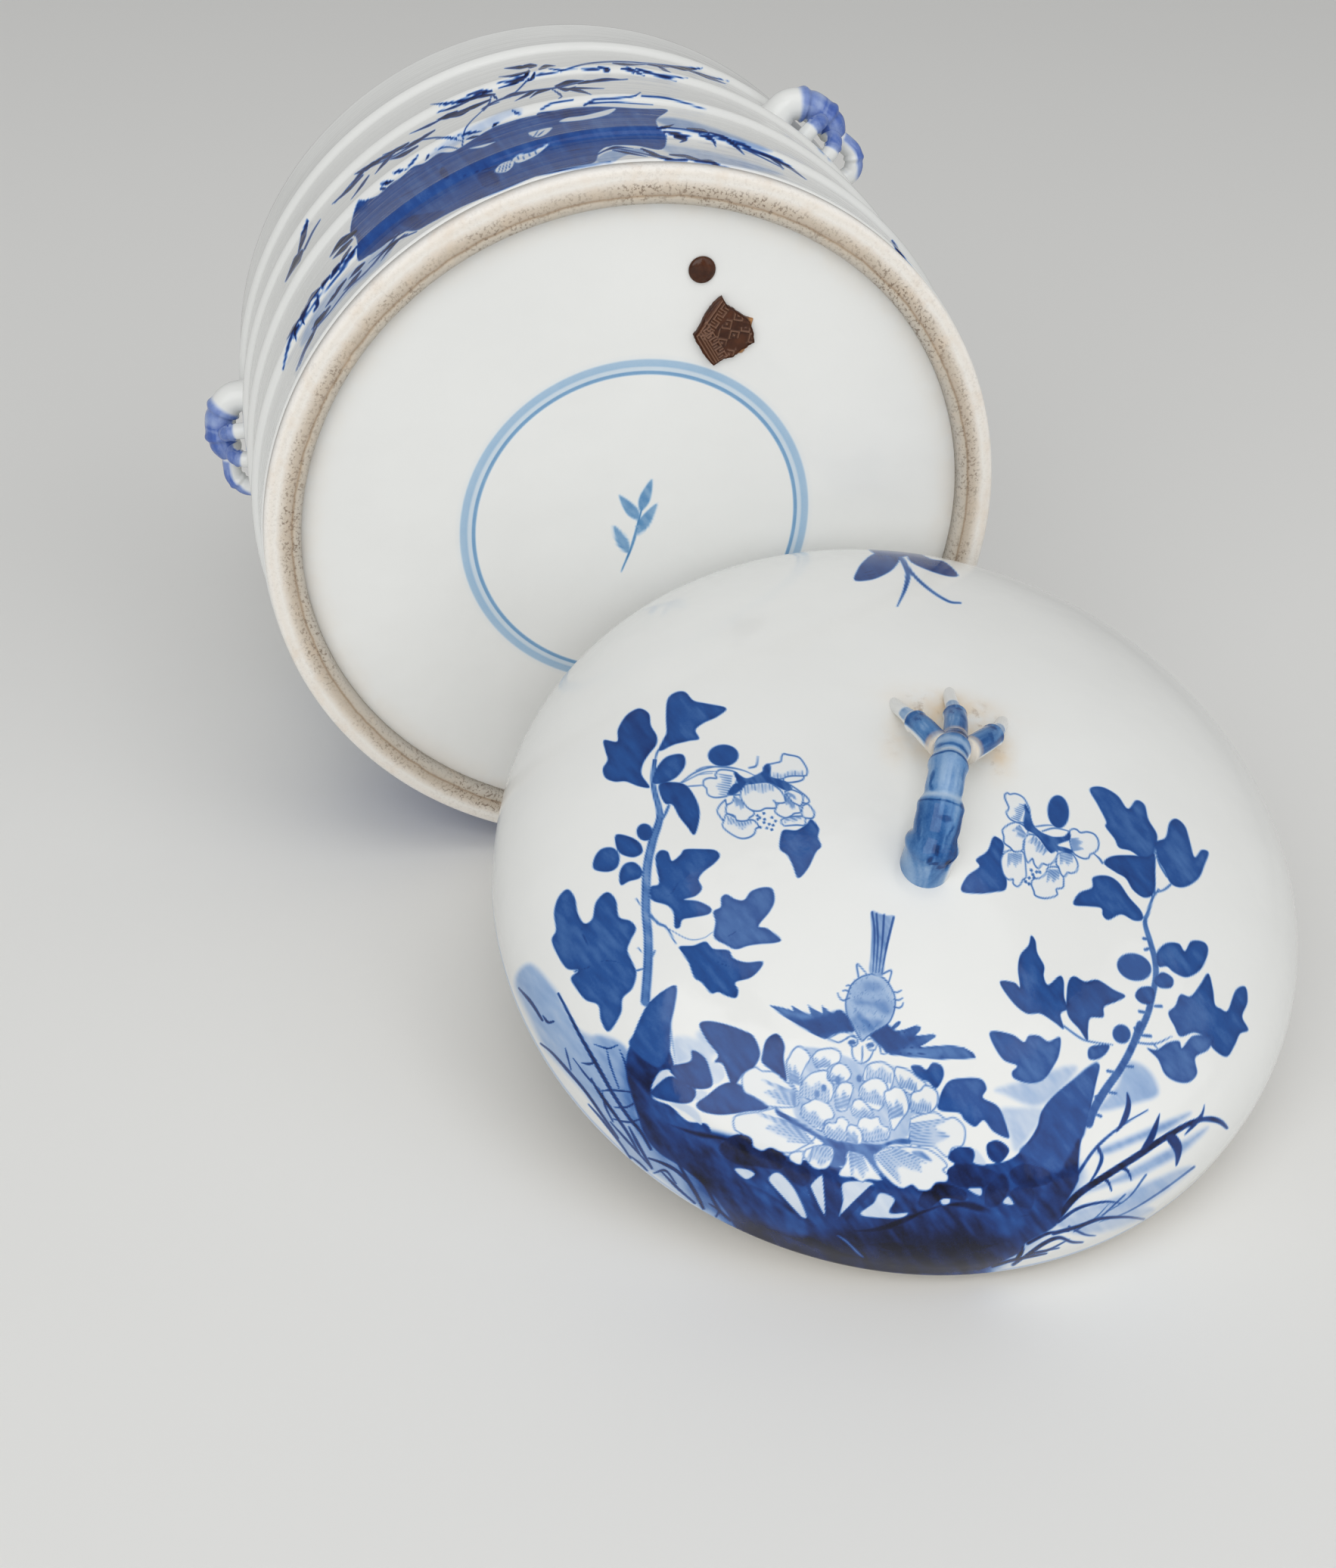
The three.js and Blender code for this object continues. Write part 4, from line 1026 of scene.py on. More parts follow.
    # rock mass along the bottom
    brow = low([420, 128, 410, 210, 390, 300, 385, 390, 398, 470, 335, 490, 300, 590, 380, 630, 450, 690, 530, 700,
        580, 760, 700, 740, 800, 800, 900, 830, 1000, 850, 1200, 880, 1400, 900, 1560, 880])
    side = right([180, 890, 300, 905, 390, 880, 450, 820, 490, 760, 510, 700, 560, 640, 640, 575, 735, 515, 722, 590,
        700, 680, 665, 790, 640, 880, 640, 960, 580, 1060, 550, 1130, 430, 1200, 400, 1240, 260, 1300, 100, 1320,
        -40, 1330])
    rim = low([1350, 1300, 1150, 1292, 1000, 1262, 900, 1235, 760, 1185, 660, 1150, 600, 1060, 520, 965, 420, 885,
        330, 830, 270, 760, 230, 640, 198, 520, 200, 430, 230, 340, 262, 270, 300, 205, 365, 150])
    fill(sheet, np.concatenate([brow, side, rim]), 0.8, soft=0.6, mottle=0.2)
    # darker towards the rim
    for deep, tone in (
        (low([230, 420, 340, 470, 330, 560, 290, 620, 330, 700, 420, 790, 520, 880, 640, 960, 760, 1060, 900, 1120,
         1020, 1120, 1200, 1090, 1560, 1060, 1760, 1160, 1600, 1400, 1000, 1380, 600, 1160, 420, 900, 260, 760,
         200, 560]), 0.52),
        (low([640, 1110, 900, 1180, 1100, 1150, 1300, 1110, 1560, 1140, 1700, 1240, 1600, 1400, 1000, 1380]), 0.6),
        (right([560, 900, 620, 880, 650, 960, 560, 1100, 420, 1220, 200, 1340, 0, 1340, 0, 1180, 200, 1180,
         400, 1140, 520, 1020]), 0.52),
    ):
        fill(sheet, deep, tone, soft=7, mottle=0.2, over=True)
    fill(sheet, low([420, 128, 412, 210, 388, 300, 385, 390, 330, 470, 215, 385, 235, 330, 262, 270, 300, 205,
        365, 150]), 0.66, soft=0.6, mottle=0.08, pool=0.06)
    stroke(sheet, low([408, 200, 392, 300, 402, 400, 410, 470]), 0.5, 0.5, soft=0.6)
    for cleft, width in (
        ([320, 690, 480, 740, 640, 770, 820, 850], 3.2), ([560, 900, 700, 960, 900, 1060, 1000, 1120], 4),
        ([700, 1120, 900, 1160, 1100, 1230, 1300, 1250], 5), ([1050, 1130, 1250, 1120, 1450, 1040, 1560, 1000], 4),
        ([1150, 1180, 1350, 1190, 1560, 1180], 5), ([560, 800, 620, 760, 760, 800], 2.2),
    ):
        stroke(sheet, low(cleft), width, 0.99, ends=(0.3, 0.3), soft=3, mottle=0.05)
    for cleft, width in (
        ([60, 1080, 200, 1060, 350, 1100, 480, 1090], 4), ([0, 1200, 180, 1230, 360, 1200], 6),
        ([560, 1010, 610, 930, 640, 830], 2.5),
    ):
        stroke(sheet, right(cleft), width, 0.98, ends=(0.3, 0.3), soft=3, mottle=0.05)
    fill(sheet, low([580, 900, 700, 940, 880, 1060, 940, 1150, 800, 1130, 680, 1050]), 0.8, soft=3, mottle=0.22)
    fill(sheet, right([735, 515, 690, 530, 620, 590, 560, 640, 520, 690, 510, 740, 480, 800, 420, 850, 470, 880,
        560, 930, 600, 880, 645, 800, 672, 780, 705, 640]), 0.7, soft=1.2, mottle=0.12)
    fill(sheet, right([652, 800, 645, 900, 640, 962, 592, 1000, 566, 1092, 520, 1060, 580, 960, 620, 860]), 0.9,
        soft=0.8)
    fill(sheet, right([240, 1110, 330, 1070, 420, 1090, 400, 1150, 300, 1180]), 0.82, soft=3, mottle=0.2)
    # a pale crack near the rim
    fill(sheet, low([1075, 1150, 1110, 1168, 1150, 1205, 1185, 1240, 1160, 1225, 1120, 1185]), 0.4, soft=0.6)
    # gaps left white between the stalks and the leaves
    for gap in (
        [790, 925, 832, 895, 890, 950, 930, 1030, 945, 1082, 900, 1060, 840, 990],
        [960, 960, 1025, 900, 1032, 1000, 1016, 1082, 985, 1030],
        [1110, 930, 1235, 928, 1180, 1000, 1090, 1082, 1105, 1000],
        [1180, 1062, 1235, 1010, 1265, 968, 1325, 992, 1300, 1050, 1380, 1048, 1330, 1072],
        [645, 885, 700, 885, 730, 905, 690, 925], [300, 560, 330, 500, 375, 478, 340, 540],
        [380, 620, 460, 625, 500, 660, 510, 705, 450, 660], [480, 575, 515, 560, 540, 575, 500, 605],
        [555, 450, 600, 450, 615, 500, 570, 530], [1520, 985, 1555, 970, 1560, 1000, 1530, 1010],
    ):
        fill(sheet, low(gap), 0.13, soft=0.6, mottle=0.05)
    for gap in (
        [215, 1000, 265, 995, 262, 1025], [350, 1050, 370, 1025, 390, 1055], [250, 850, 290, 905, 240, 900],
        [160, 770, 205, 760, 215, 810, 190, 820],
    ):
        fill(sheet, right(gap), 0.14, soft=0.6, mottle=0.05)
    for stalk, width in (
        ([1040, 900, 1050, 1000, 1050, 1110], 3.4), ([950, 930, 990, 1030, 1035, 1110], 1.6),
        ([1230, 950, 1140, 1040, 1070, 1110], 2.4), ([780, 930, 850, 1010, 920, 1085], 1.2),
    ):
        stroke(sheet, low(stalk), width, 0.84, ends=(0.8, 1), soft=0.5)
    for leaf in lowLeftLeaves:
        fill(sheet, low(leaf), 0.72, soft=0.6, mottle=0.1, pool=0.1)
    for dark, tone in (
        ([580, 800, 660, 740, 760, 770, 860, 820, 840, 880, 720, 870, 640, 860], 0.92),
        ([850, 850, 930, 860, 970, 900, 940, 950, 880, 920], 0.9),
    ):
        fill(sheet, low(dark), tone, soft=0.6)
    for dark, tone in (
        ([140, 880, 180, 845, 240, 850, 235, 900, 170, 905], 0.8),
        ([295, 830, 340, 815, 380, 850, 340, 900, 300, 880], 0.8),
        ([140, 930, 200, 905, 290, 920, 340, 950, 280, 990, 200, 995, 150, 980], 0.88),
        ([280, 1060, 290, 990, 350, 940, 375, 990, 330, 1060], 0.9),
        ([380, 930, 440, 900, 530, 925, 530, 970, 440, 990, 390, 970], 0.9),
        ([380, 1010, 430, 980, 470, 1000, 460, 1065, 410, 1060], 0.88),
        ([20, 1060, 60, 1000, 130, 985, 205, 1010, 200, 1045, 120, 1040, 60, 1080], 0.93),
    ):
        fill(sheet, right(dark), tone, soft=0.5)


# the open petals round the foot of the peony, then the full heart from the back to the front
peonyOpen = (
    ([799, 619, 741, 582, 701, 564, 689, 527, 698, 485, 747, 457, 775, 472, 827, 475, 863, 503, 900, 534, 924, 576,
     924, 613, 863, 622], [912, 556, 922, 612], (-8.6, 2.2)),
    ([827, 625, 753, 644, 680, 656, 649, 674, 655, 723, 717, 754, 729, 790, 765, 806, 802, 793, 845, 809, 894, 809,
     930, 790, 980, 760, 992, 723, 930, 680, 863, 650], [925, 694, 985, 768], (-11.6, 2.2)),
    ([943, 803, 930, 858, 888, 845, 881, 821, 905, 806], None, None),
    ([952, 796, 943, 821, 967, 858, 998, 876, 1040, 870, 1065, 833, 1065, 784, 1004, 778], [985, 782, 1056, 786],
     (-1.2, -5.0)),
    ([1126, 803, 1120, 845, 1089, 894, 1120, 906, 1150, 906, 1187, 925, 1212, 913, 1273, 913, 1242, 870, 1200, 815,
     1160, 800], [1138, 804, 1190, 812], (1.3, -6.2)),
    ([1242, 815, 1260, 864, 1303, 913, 1334, 937, 1364, 946, 1401, 931, 1432, 952, 1475, 949, 1505, 919, 1548, 913,
     1557, 888, 1536, 864, 1554, 845, 1523, 809, 1468, 778, 1395, 772, 1303, 778, 1260, 796],
     [1248, 818, 1285, 790, 1350, 780], (8.2, -6.0)),
    ([1401, 656, 1456, 634, 1511, 625, 1554, 650, 1590, 644, 1627, 674, 1636, 711, 1621, 760, 1578, 772, 1554, 809,
     1505, 772, 1456, 766, 1401, 766], [1404, 676, 1402, 756], (10.6, 0.5)),
)
peonyHeart = (
    ([888, 500, 882, 436, 894, 411, 912, 381, 937, 365, 967, 381, 985, 411, 967, 442, 943, 491, 934, 560],
     [894, 515, 932, 525], (0, 4.8)),
    ([992, 405, 1016, 381, 1053, 371, 1090, 371, 1114, 390, 1108, 424, 1071, 442, 1040, 468, 1004, 442],
     [1006, 450, 1066, 446], (0, 2.6)),
    ([1340, 466, 1352, 439, 1401, 451, 1438, 478, 1475, 509, 1456, 540, 1407, 552, 1364, 520],
     [1366, 522, 1432, 536], (0, 3.0)),
    ([1205, 503, 1212, 460, 1236, 430, 1285, 420, 1322, 436, 1340, 460, 1334, 503, 1310, 540, 1250, 500],
     [1222, 492, 1322, 505], (0.4, 3.8)),
    ([1065, 491, 1071, 460, 1090, 436, 1120, 430, 1144, 448, 1157, 478, 1138, 503, 1102, 515, 1077, 515],
     [1075, 507, 1122, 513], (0.2, 2.2)),
    ([934, 576, 943, 521, 973, 485, 1004, 469, 1053, 463, 1056, 497, 1077, 521, 1077, 564, 1053, 595, 992, 590],
     [945, 575, 1055, 592], (0.3, 4.8)),
    ([1083, 576, 1090, 540, 1108, 515, 1132, 509, 1157, 515, 1163, 540, 1150, 576, 1132, 625, 1090, 625],
     [1090, 622, 1142, 612], (0, 4.6)),
    ([1401, 613, 1407, 564, 1420, 543, 1450, 534, 1468, 515, 1499, 521, 1523, 546, 1517, 595, 1487, 625, 1444, 632],
     [1410, 626, 1490, 620], (0, 3.4)),
    ([1187, 564, 1193, 527, 1218, 503, 1254, 488, 1291, 497, 1310, 527, 1303, 576, 1267, 625, 1218, 601],
     [1198, 582, 1288, 604], (0.2, 3.8)),
    ([1297, 576, 1297, 546, 1322, 534, 1346, 521, 1377, 534, 1395, 576, 1395, 619, 1364, 662, 1328, 705, 1315, 662,
     1310, 613], [1322, 655, 1372, 640], (-0.4, 4.4)),
    ([1150, 613, 1169, 582, 1200, 582, 1230, 613, 1248, 650, 1212, 656, 1163, 650], [1168, 650, 1240, 650],
     (-0.4, 2.4)),
    ([934, 650, 943, 613, 973, 595, 1004, 582, 1053, 601, 1077, 637, 1071, 662, 1040, 674, 1022, 717, 973, 686],
     [938, 660, 1026, 710], (0.3, 3.6)),
    ([1175, 686, 1187, 662, 1212, 650, 1236, 656, 1267, 650, 1279, 680, 1310, 698, 1303, 741, 1212, 754, 1190, 730],
     [1200, 752, 1302, 744], (0, 3.6)),
    ([1034, 723, 1034, 698, 1053, 680, 1083, 680, 1090, 662, 1114, 656, 1138, 674, 1138, 698, 1126, 754, 1053, 748],
     [1046, 746, 1128, 752], (0.1, 3.6)),
    ([1128, 752, 1132, 698, 1157, 686, 1187, 705, 1196, 735, 1187, 766], [1134, 754, 1172, 762], (0.2, 3.0)),
)


def paintPeony(sheet):
    low = lowLeftSketch
    fill(sheet, low([888, 440, 936, 372, 1050, 374, 1114, 394, 1236, 430, 1330, 434, 1440, 478, 1518, 540, 1514, 600,
        1400, 720, 1300, 762, 1180, 772, 1050, 752, 930, 690, 890, 560]), 0.24, soft=1.0)
    fill(sheet, low([1030, 765, 1290, 770, 1262, 800, 1285, 905, 1200, 830, 1110, 860, 1050, 860]), 0.6, soft=0.8)
    paintPetals(sheet, low, peonyOpen, blush=0.2, line=0.46, flare=0.5)
    paintPetals(sheet, low, peonyHeart, blush=0.2, line=0.5)
    fill(sheet, low([1408, 790, 1450, 790, 1490, 828, 1450, 820, 1415, 806]), 0.45, soft=1.0)
    for spot in ((1007, 562), (1038, 536), (1190, 492), (1098, 500)):
        fill(sheet, low(oval(spot, 12, 16)), 0.52, soft=0.6)
    fill(sheet, low([830, 631, 894, 662, 943, 692, 998, 723, 1053, 748, 1126, 766, 1212, 768, 1273, 764, 1340, 742,
        1395, 738, 1395, 760, 1322, 764, 1273, 784, 1212, 796, 1126, 790, 1053, 778, 992, 741, 906, 692, 839, 656]),
        0.62, soft=0.7, mottle=0.2)


def paintBird(sheet):
    left = leftSketch
    fill(sheet, left([1438, 872, 1470, 878, 1500, 885, 1532, 890, 1505, 960, 1490, 1030, 1478, 1115, 1425, 1115,
        1432, 1030, 1438, 950]), 0.42, mottle=0.2)
    for barb in (
        [1443, 875, 1450, 960, 1438, 1110], [1460, 880, 1462, 990, 1450, 1110], [1490, 885, 1480, 990, 1462, 1110],
        [1528, 892, 1498, 1000, 1474, 1112],
    ):
        stroke(sheet, left(barb), 0.8, 0.72, ends=(1, 0.5))
    wing = [1015, 1250, 1060, 1256, 1115, 1270, 1105, 1248, 1130, 1262, 1185, 1285, 1172, 1245, 1200, 1262,
        1232, 1280, 1228, 1245, 1250, 1262, 1275, 1280, 1288, 1262, 1305, 1262, 1330, 1285, 1345, 1310, 1358, 1345,
        1300, 1348, 1265, 1362, 1240, 1378, 1200, 1365, 1160, 1340, 1110, 1315, 1060, 1282]
    other = [1415, 1360, 1450, 1335, 1490, 1312, 1512, 1340, 1560, 1330, 1605, 1313, 1624, 1318, 1622, 1332,
        1600, 1354, 1640, 1350, 1672, 1345, 1686, 1354, 1640, 1385, 1610, 1400, 1680, 1392, 1740, 1387, 1795, 1395,
        1832, 1416, 1842, 1436, 1800, 1440, 1700, 1445, 1600, 1440, 1500, 1432, 1478, 1422, 1460, 1390, 1440, 1370]
    for shape, shade, glow in (
        (wing, [1290, 1265, 1330, 1285, 1352, 1342, 1300, 1346, 1210, 1358, 1120, 1312, 1200, 1300],
         [1060, 1262, 1110, 1276, 1190, 1292, 1150, 1296, 1090, 1284]),
        (other, [1420, 1358, 1490, 1318, 1540, 1350, 1600, 1360, 1560, 1400, 1490, 1418],
         [1560, 1412, 1640, 1402, 1700, 1405, 1690, 1435, 1600, 1434]),
    ):
        fill(sheet, left(shape), 0.62, soft=0.4, mottle=0.12, smooth=False, pool=0.06)
        fill(sheet, left(shade), 0.74, soft=1.6, mottle=0.08)
        fill(sheet, left(glow), 0.52, soft=1.6, mottle=0.08)
    for feather in (
        [1260, 1345, 1180, 1300, 1120, 1268], [1300, 1340, 1240, 1300, 1190, 1270],
        [1330, 1340, 1290, 1300, 1240, 1268], [1230, 1370, 1130, 1310, 1050, 1272],
        [1480, 1345, 1560, 1342, 1615, 1322], [1490, 1380, 1600, 1366, 1675, 1352],
        [1500, 1405, 1620, 1400, 1760, 1396], [1520, 1425, 1650, 1425, 1800, 1432],
    ):
        stroke(sheet, left(feather), 0.45, 0.8, ends=(0.8, 0.3))
    fill(sheet, left([1506, 1326, 1520, 1308, 1536, 1299, 1543, 1304, 1534, 1318, 1516, 1330]), 0.66, soft=0.4)
    body = [1435, 1116, 1475, 1128, 1503, 1158, 1522, 1200, 1522, 1242, 1508, 1285, 1488, 1312, 1445, 1338,
        1408, 1362, 1385, 1380, 1364, 1348, 1347, 1312, 1330, 1280, 1325, 1235, 1335, 1198, 1352, 1160, 1390, 1130]
    fill(sheet, left(body), 0.3, soft=0.4, mottle=0.12)
    for shade, tone in (
        ([1400, 1150, 1460, 1145, 1480, 1170, 1440, 1185, 1405, 1180], 0.42),
        ([1360, 1220, 1420, 1225, 1480, 1222, 1505, 1260, 1480, 1275, 1420, 1240, 1370, 1240], 0.44),
        ([1345, 1300, 1380, 1270, 1400, 1290, 1470, 1300, 1440, 1335, 1395, 1350, 1362, 1330], 0.46),
    ):
        fill(sheet, left(shade), tone, soft=2.0, mottle=0.1)
    dice = np.random.default_rng(5)
    for _ in range(120):  # small feather ticks
        a, r = dice.uniform(0, 2 * math.pi), 88 * math.sqrt(dice.uniform(0.01, 1))
        x, y = 1425 + r * math.cos(a), 1218 + 1.05 * r * math.sin(a)
        slant = dice.choice((-1, 1)) * dice.uniform(3, 9)
        stroke(sheet, left([(x - slant, y - 11), (x + slant, y + 11)]), 0.32, dice.uniform(0.42, 0.6))
    for line in (
        [1385, 1290, 1395, 1320, 1392, 1370], [1420, 1300, 1415, 1330, 1402, 1366],
        [1360, 1310, 1374, 1340, 1384, 1372], [1450, 1310, 1440, 1325, 1415, 1352],
    ):
        stroke(sheet, left(line), 0.45, 0.6)
    stroke(sheet, left(body + body[:2]), 0.5, 0.62, ends=(1, 1))
    for tuft in (
        [1380, 1132, 1376, 1080, 1412, 1115], [1475, 1116, 1512, 1102, 1500, 1150],
        [1348, 1172, 1340, 1164, 1330, 1166], [1345, 1196, 1330, 1184, 1315, 1186],
        [1340, 1214, 1316, 1224, 1300, 1212, 1294, 1196], [1512, 1184, 1532, 1186, 1550, 1178],
        [1520, 1214, 1538, 1216, 1554, 1208], [1518, 1242, 1536, 1247, 1550, 1240, 1556, 1226],
    ):
        stroke(sheet, left(tuft), 0.55, 0.6, ends=(1, 0.7))
    # head below the body, with curls over the eyes and a beak
    for curl in (
        [1248, 1376, 1270, 1364, 1300, 1350, 1340, 1352, 1366, 1370],
        [1250, 1378, 1290, 1389, 1318, 1376, 1330, 1366], [1322, 1376, 1340, 1364, 1364, 1372, 1370, 1390],
        [1408, 1374, 1436, 1370, 1462, 1398, 1484, 1428], [1440, 1376, 1456, 1404, 1462, 1428, 1484, 1428],
        [1344, 1404, 1346, 1440, 1362, 1462, 1382, 1471], [1382, 1471, 1408, 1456, 1424, 1432, 1430, 1416],
        [1386, 1404, 1385, 1440, 1381, 1468], [1330, 1388, 1344, 1402, 1362, 1398, 1366, 1384],
        [1402, 1396, 1414, 1414, 1436, 1414, 1442, 1400],
    ):
        stroke(sheet, left(curl), 0.5, 0.55, ends=(0.8, 0.7))
    for spot in ((1346, 1387), (1420, 1396)):
        fill(sheet, left(oval(spot, 15, 10, count=8)), 0.6, soft=0.4)


def paintButterfly(sheet):
    for wing in (
        [475, 225, 520, 218, 580, 222, 620, 218, 670, 220, 690, 240, 670, 258, 640, 272, 600, 275, 520, 265],
        [430, 375, 440, 335, 470, 295, 520, 262, 600, 266, 618, 285, 595, 320, 560, 345, 500, 370],
        [655, 262, 690, 253, 750, 278, 810, 290, 862, 340, 830, 348, 770, 335, 700, 310, 662, 288],
    ):
        fill(sheet, topSketch(wing), 0.78, mottle=0.08)
    for vein in ([440, 350, 500, 335, 570, 310], [690, 285, 760, 300, 830, 335], [445, 360, 520, 345, 580, 322]):
        stroke(sheet, topSketch(vein), 0.5, 0.92)
    stroke(sheet, topSketch([622, 272, 652, 335, 640, 400, 604, 476]), 1.6, 0.62, ends=(0.8, 0.25))
    stroke(sheet, topSketch([630, 278, 680, 350, 750, 410, 820, 450, 868, 455]), 0.9, 0.62, ends=(1, 0.6))


finial = {
    "rise": 17.0, "bend": 2.4, "half": 26.0, "end": 9.0, "spread": 13.0, "length": 20.0, "turn": -3 * 360 / 64,
    # radii along the stem and the twigs: share, radius
    "stem": ((0, 6.9), (0.2, 6.7), (0.4, 6.0), (0.47, 5.3), (0.6, 4.9), (0.75, 4.6), (0.85, 4.2), (1, 3.8)),
    "twig": ((0, 3.5), (0.3, 3.3), (0.44, 3.1), (0.5, 2.3), (0.64, 2.0), (0.8, 1.9), (1, 1.9)),
    "joints": (0.27, 0.46, 0.67, 0.81),
    # old stain on the lid between the twigs: aside, along, half sizes, strength
    "stains": ((-4, 22, 6, 6, 0.95), (9, 22, 6, 6, 0.95), (3, 29, 15, 4, 0.5), (17, 13, 4, 7, 0.6),
               (-12, 11, 4, 8, 0.3), (3, 12, 9, 5, 0.8)),
    # shares along the stem with how strong the blue is there, then dabs: share, side, length, width, strength
    "wash": {"tones": ((0.1, 0.46), (0.2, 0.5), (0.25, 0.6), (0.29, 0.66), (0.42, 0.6), (0.48, 0.5), (0.62, 0.46),
                       (0.69, 0.42), (0.78, 0.44), (0.83, 0.68), (1, 0.72)),
             # lines: share of the joint, tone of its dark line, strength of the painted highlight above it
             "lines": ((0.46, 0.76, 0.5), (0.675, 0.76, 0.5), (0.745, 0.66, 0.3), (0.815, 0.76, 0.2)),
             "dabs": ((0.255, -0.2, 0.022, 0.4, 0.88), (0.262, 0.6, 0.024, 0.26, 0.94),
                      (0.285, 0.0, 0.026, 0.3, 0.84), (0.24, 0.2, 0.012, 0.7, 0.8), (0.405, 0.1, 0.02, 0.6, 0.74),
                      (0.34, -0.8, 0.08, 0.2, 0.7), (0.87, 0.3, 0.035, 0.5, 0.92), (0.55, -0.8, 0.08, 0.18, 0.68),
                      (0.6, 0.7, 0.05, 0.15, 0.58), (0.36, 0.5, 0.06, 0.12, 0.72)),
             "edge": -0.45, "lean": 0.6, "from": -0.2, "to": 1.2, "violet": -0.45},
    "twigWash": {"tones": ((0, 0.64), (0.3, 0.56), (0.44, 0.62), (0.48, 0.36), (0.62, 0.46)),
                 "lines": ((0.46, 0.72, 0.4),),
                 "dabs": ((0.38, 0.1, 0.05, 0.5, 0.76), (0.25, 0.45, 0.06, 0.3, 0.7), (0.32, -0.5, 0.08, 0.2, 0.7)),
                 "edge": -0.1, "lean": 0.0, "from": 0.02, "to": 0.66, "violet": -0.45, "grime": 0.12},
}


def buildDome():
    edge, top, low = dome["radius"], dome["height"], dome["rim"]
    outside = domeLine(edge, low, top, int(150 / dome["step"]))
    rim = [(dome["seat"], 0.0), (107.5, 0.0), (edge - 1.6, 0.0), (edge - 0.8, 0.2), (edge - 0.2, 0.8),
           *((edge, z) for z in np.arange(1.4, low, 0.55))]
    inside = domeLine(edge - dome["wall"], dome["lap"], top - dome["wall"], 26)[::-1]
    # the top is one point outside and one inside, so the two skins are turned apart and meet in the rim
    angles = mostlyFacing(math.radians(dome["painted"]), dome["paintedShare"], *dome["segments"])
    pointsA, quadsA, trisA, _ = turn(rim + outside, angles)
    under = inside + [(dome["seat"], z) for z in (dome["lap"], 4.0, 0.0)]
    pointsB, quadsB, trisB, ringB = turn(under, angles)
    lastRing = np.nonzero(ringB == len(under) - 1)[0]
    shift = len(pointsA)
    weld = np.arange(len(pointsB)) + shift
    weld[lastRing] = np.arange(len(angles))  # the seat edge is shared
    points = np.concatenate([pointsA, pointsB[:lastRing[0]]])
    quads, tris = np.concatenate([quadsA, weld[quadsB]]), np.concatenate([trisA, weld[trisB]])
    x, y, z = points.T
    r = np.hypot(x, y)
    outer = np.arange(len(points)) < shift
    curve = dome["curve"]
    slope = np.where(z > low, (r / edge) ** (curve - 1) * (top - low) / edge
                     / np.clip(1 - (r / edge) ** curve, 1e-4, 1) ** (1 - 1 / curve), 1e3)
    world = lidToWorld(points)
    far = np.maximum(r, 1e-3)
    normal = np.column_stack([x / far * slope, y / far * slope, np.ones(len(r))])
    facing = np.einsum("ij,ij->i", lidToWorld(normal) - lidSpot * mm, np.array(eye["place"]) - world)
    seen = outer & (facing > 0)
    u, v = onLid(world)
    sheet = newSheet(u, v, seen)
    for paint in (paintRocks, paintSprays, paintBlooms, paintPeony, paintBird, paintButterfly):
        paint(sheet)
    line = dome["rimLine"]
    rimLine = line["tone"] * np.exp(-(((z - line["height"]) / line["half"]) ** 2)) * (r > line["from"])
    pigment = np.maximum(sheet["ink"], np.where(outer, rimLine, 0))
    turned = math.radians(finial["turn"])
    along, aside = y * math.cos(turned) - x * math.sin(turned), x * math.cos(turned) + y * math.sin(turned)
    roots = sum(strength * np.exp(-(((aside - a) / wide) ** 2) - (((along - b) / long) ** 2))
                for a, b, wide, long, strength in finial["stains"])
    roots = np.where(outer, roots, 0)
    bare = np.where(outer, ease((1.0 - z) / 0.6), 0) * 0.9
    piece = makePiece("lidDome", world, quads, tris,
                      {"pigment": pigment, "stain": np.clip(roots * 1.2, 0, 1), "bare": bare,
                       "violet": np.where(seen, 0.1 * ease((-v - 25) / 40) - 0.1, 0)})
    settle(piece, "lid", ["lid_dome"], lidGlaze)


buildDome()
print("lid dome turned and painted")


flange = {"outer": 105.4, "inner": 101.0, "low": -8.0, "high": 7.8, "segments": 384}


def buildFlange():
    o, i, low, high = (flange[k] for k in ("outer", "inner", "low", "high"))
    profile = [(i, high), (i, 2.0), (i, low + 1.6), (i + 0.5, low + 0.5), (i + 1.5, low), (o - 1.5, low),
               (o - 0.5, low + 0.5), (o, low + 1.6), (o, 0.0), (o, high)]
    points, quads, tris, _ = turn(profile, allRound(flange["segments"]), closed=True)
    x, y, z = points.T
    bare = ease(1.2 - (z - low)) * 0.9 + ease((np.hypot(x, y) - o + 0.6) / 0.5) * 0.7
    piece = makePiece("lidFlange", lidToWorld(points), quads, tris, {"bare": np.clip(bare, 0, 1)})
    settle(piece, "lid", ["lid_flange"], lidGlaze)


buildFlange()
print("lid flange turned")


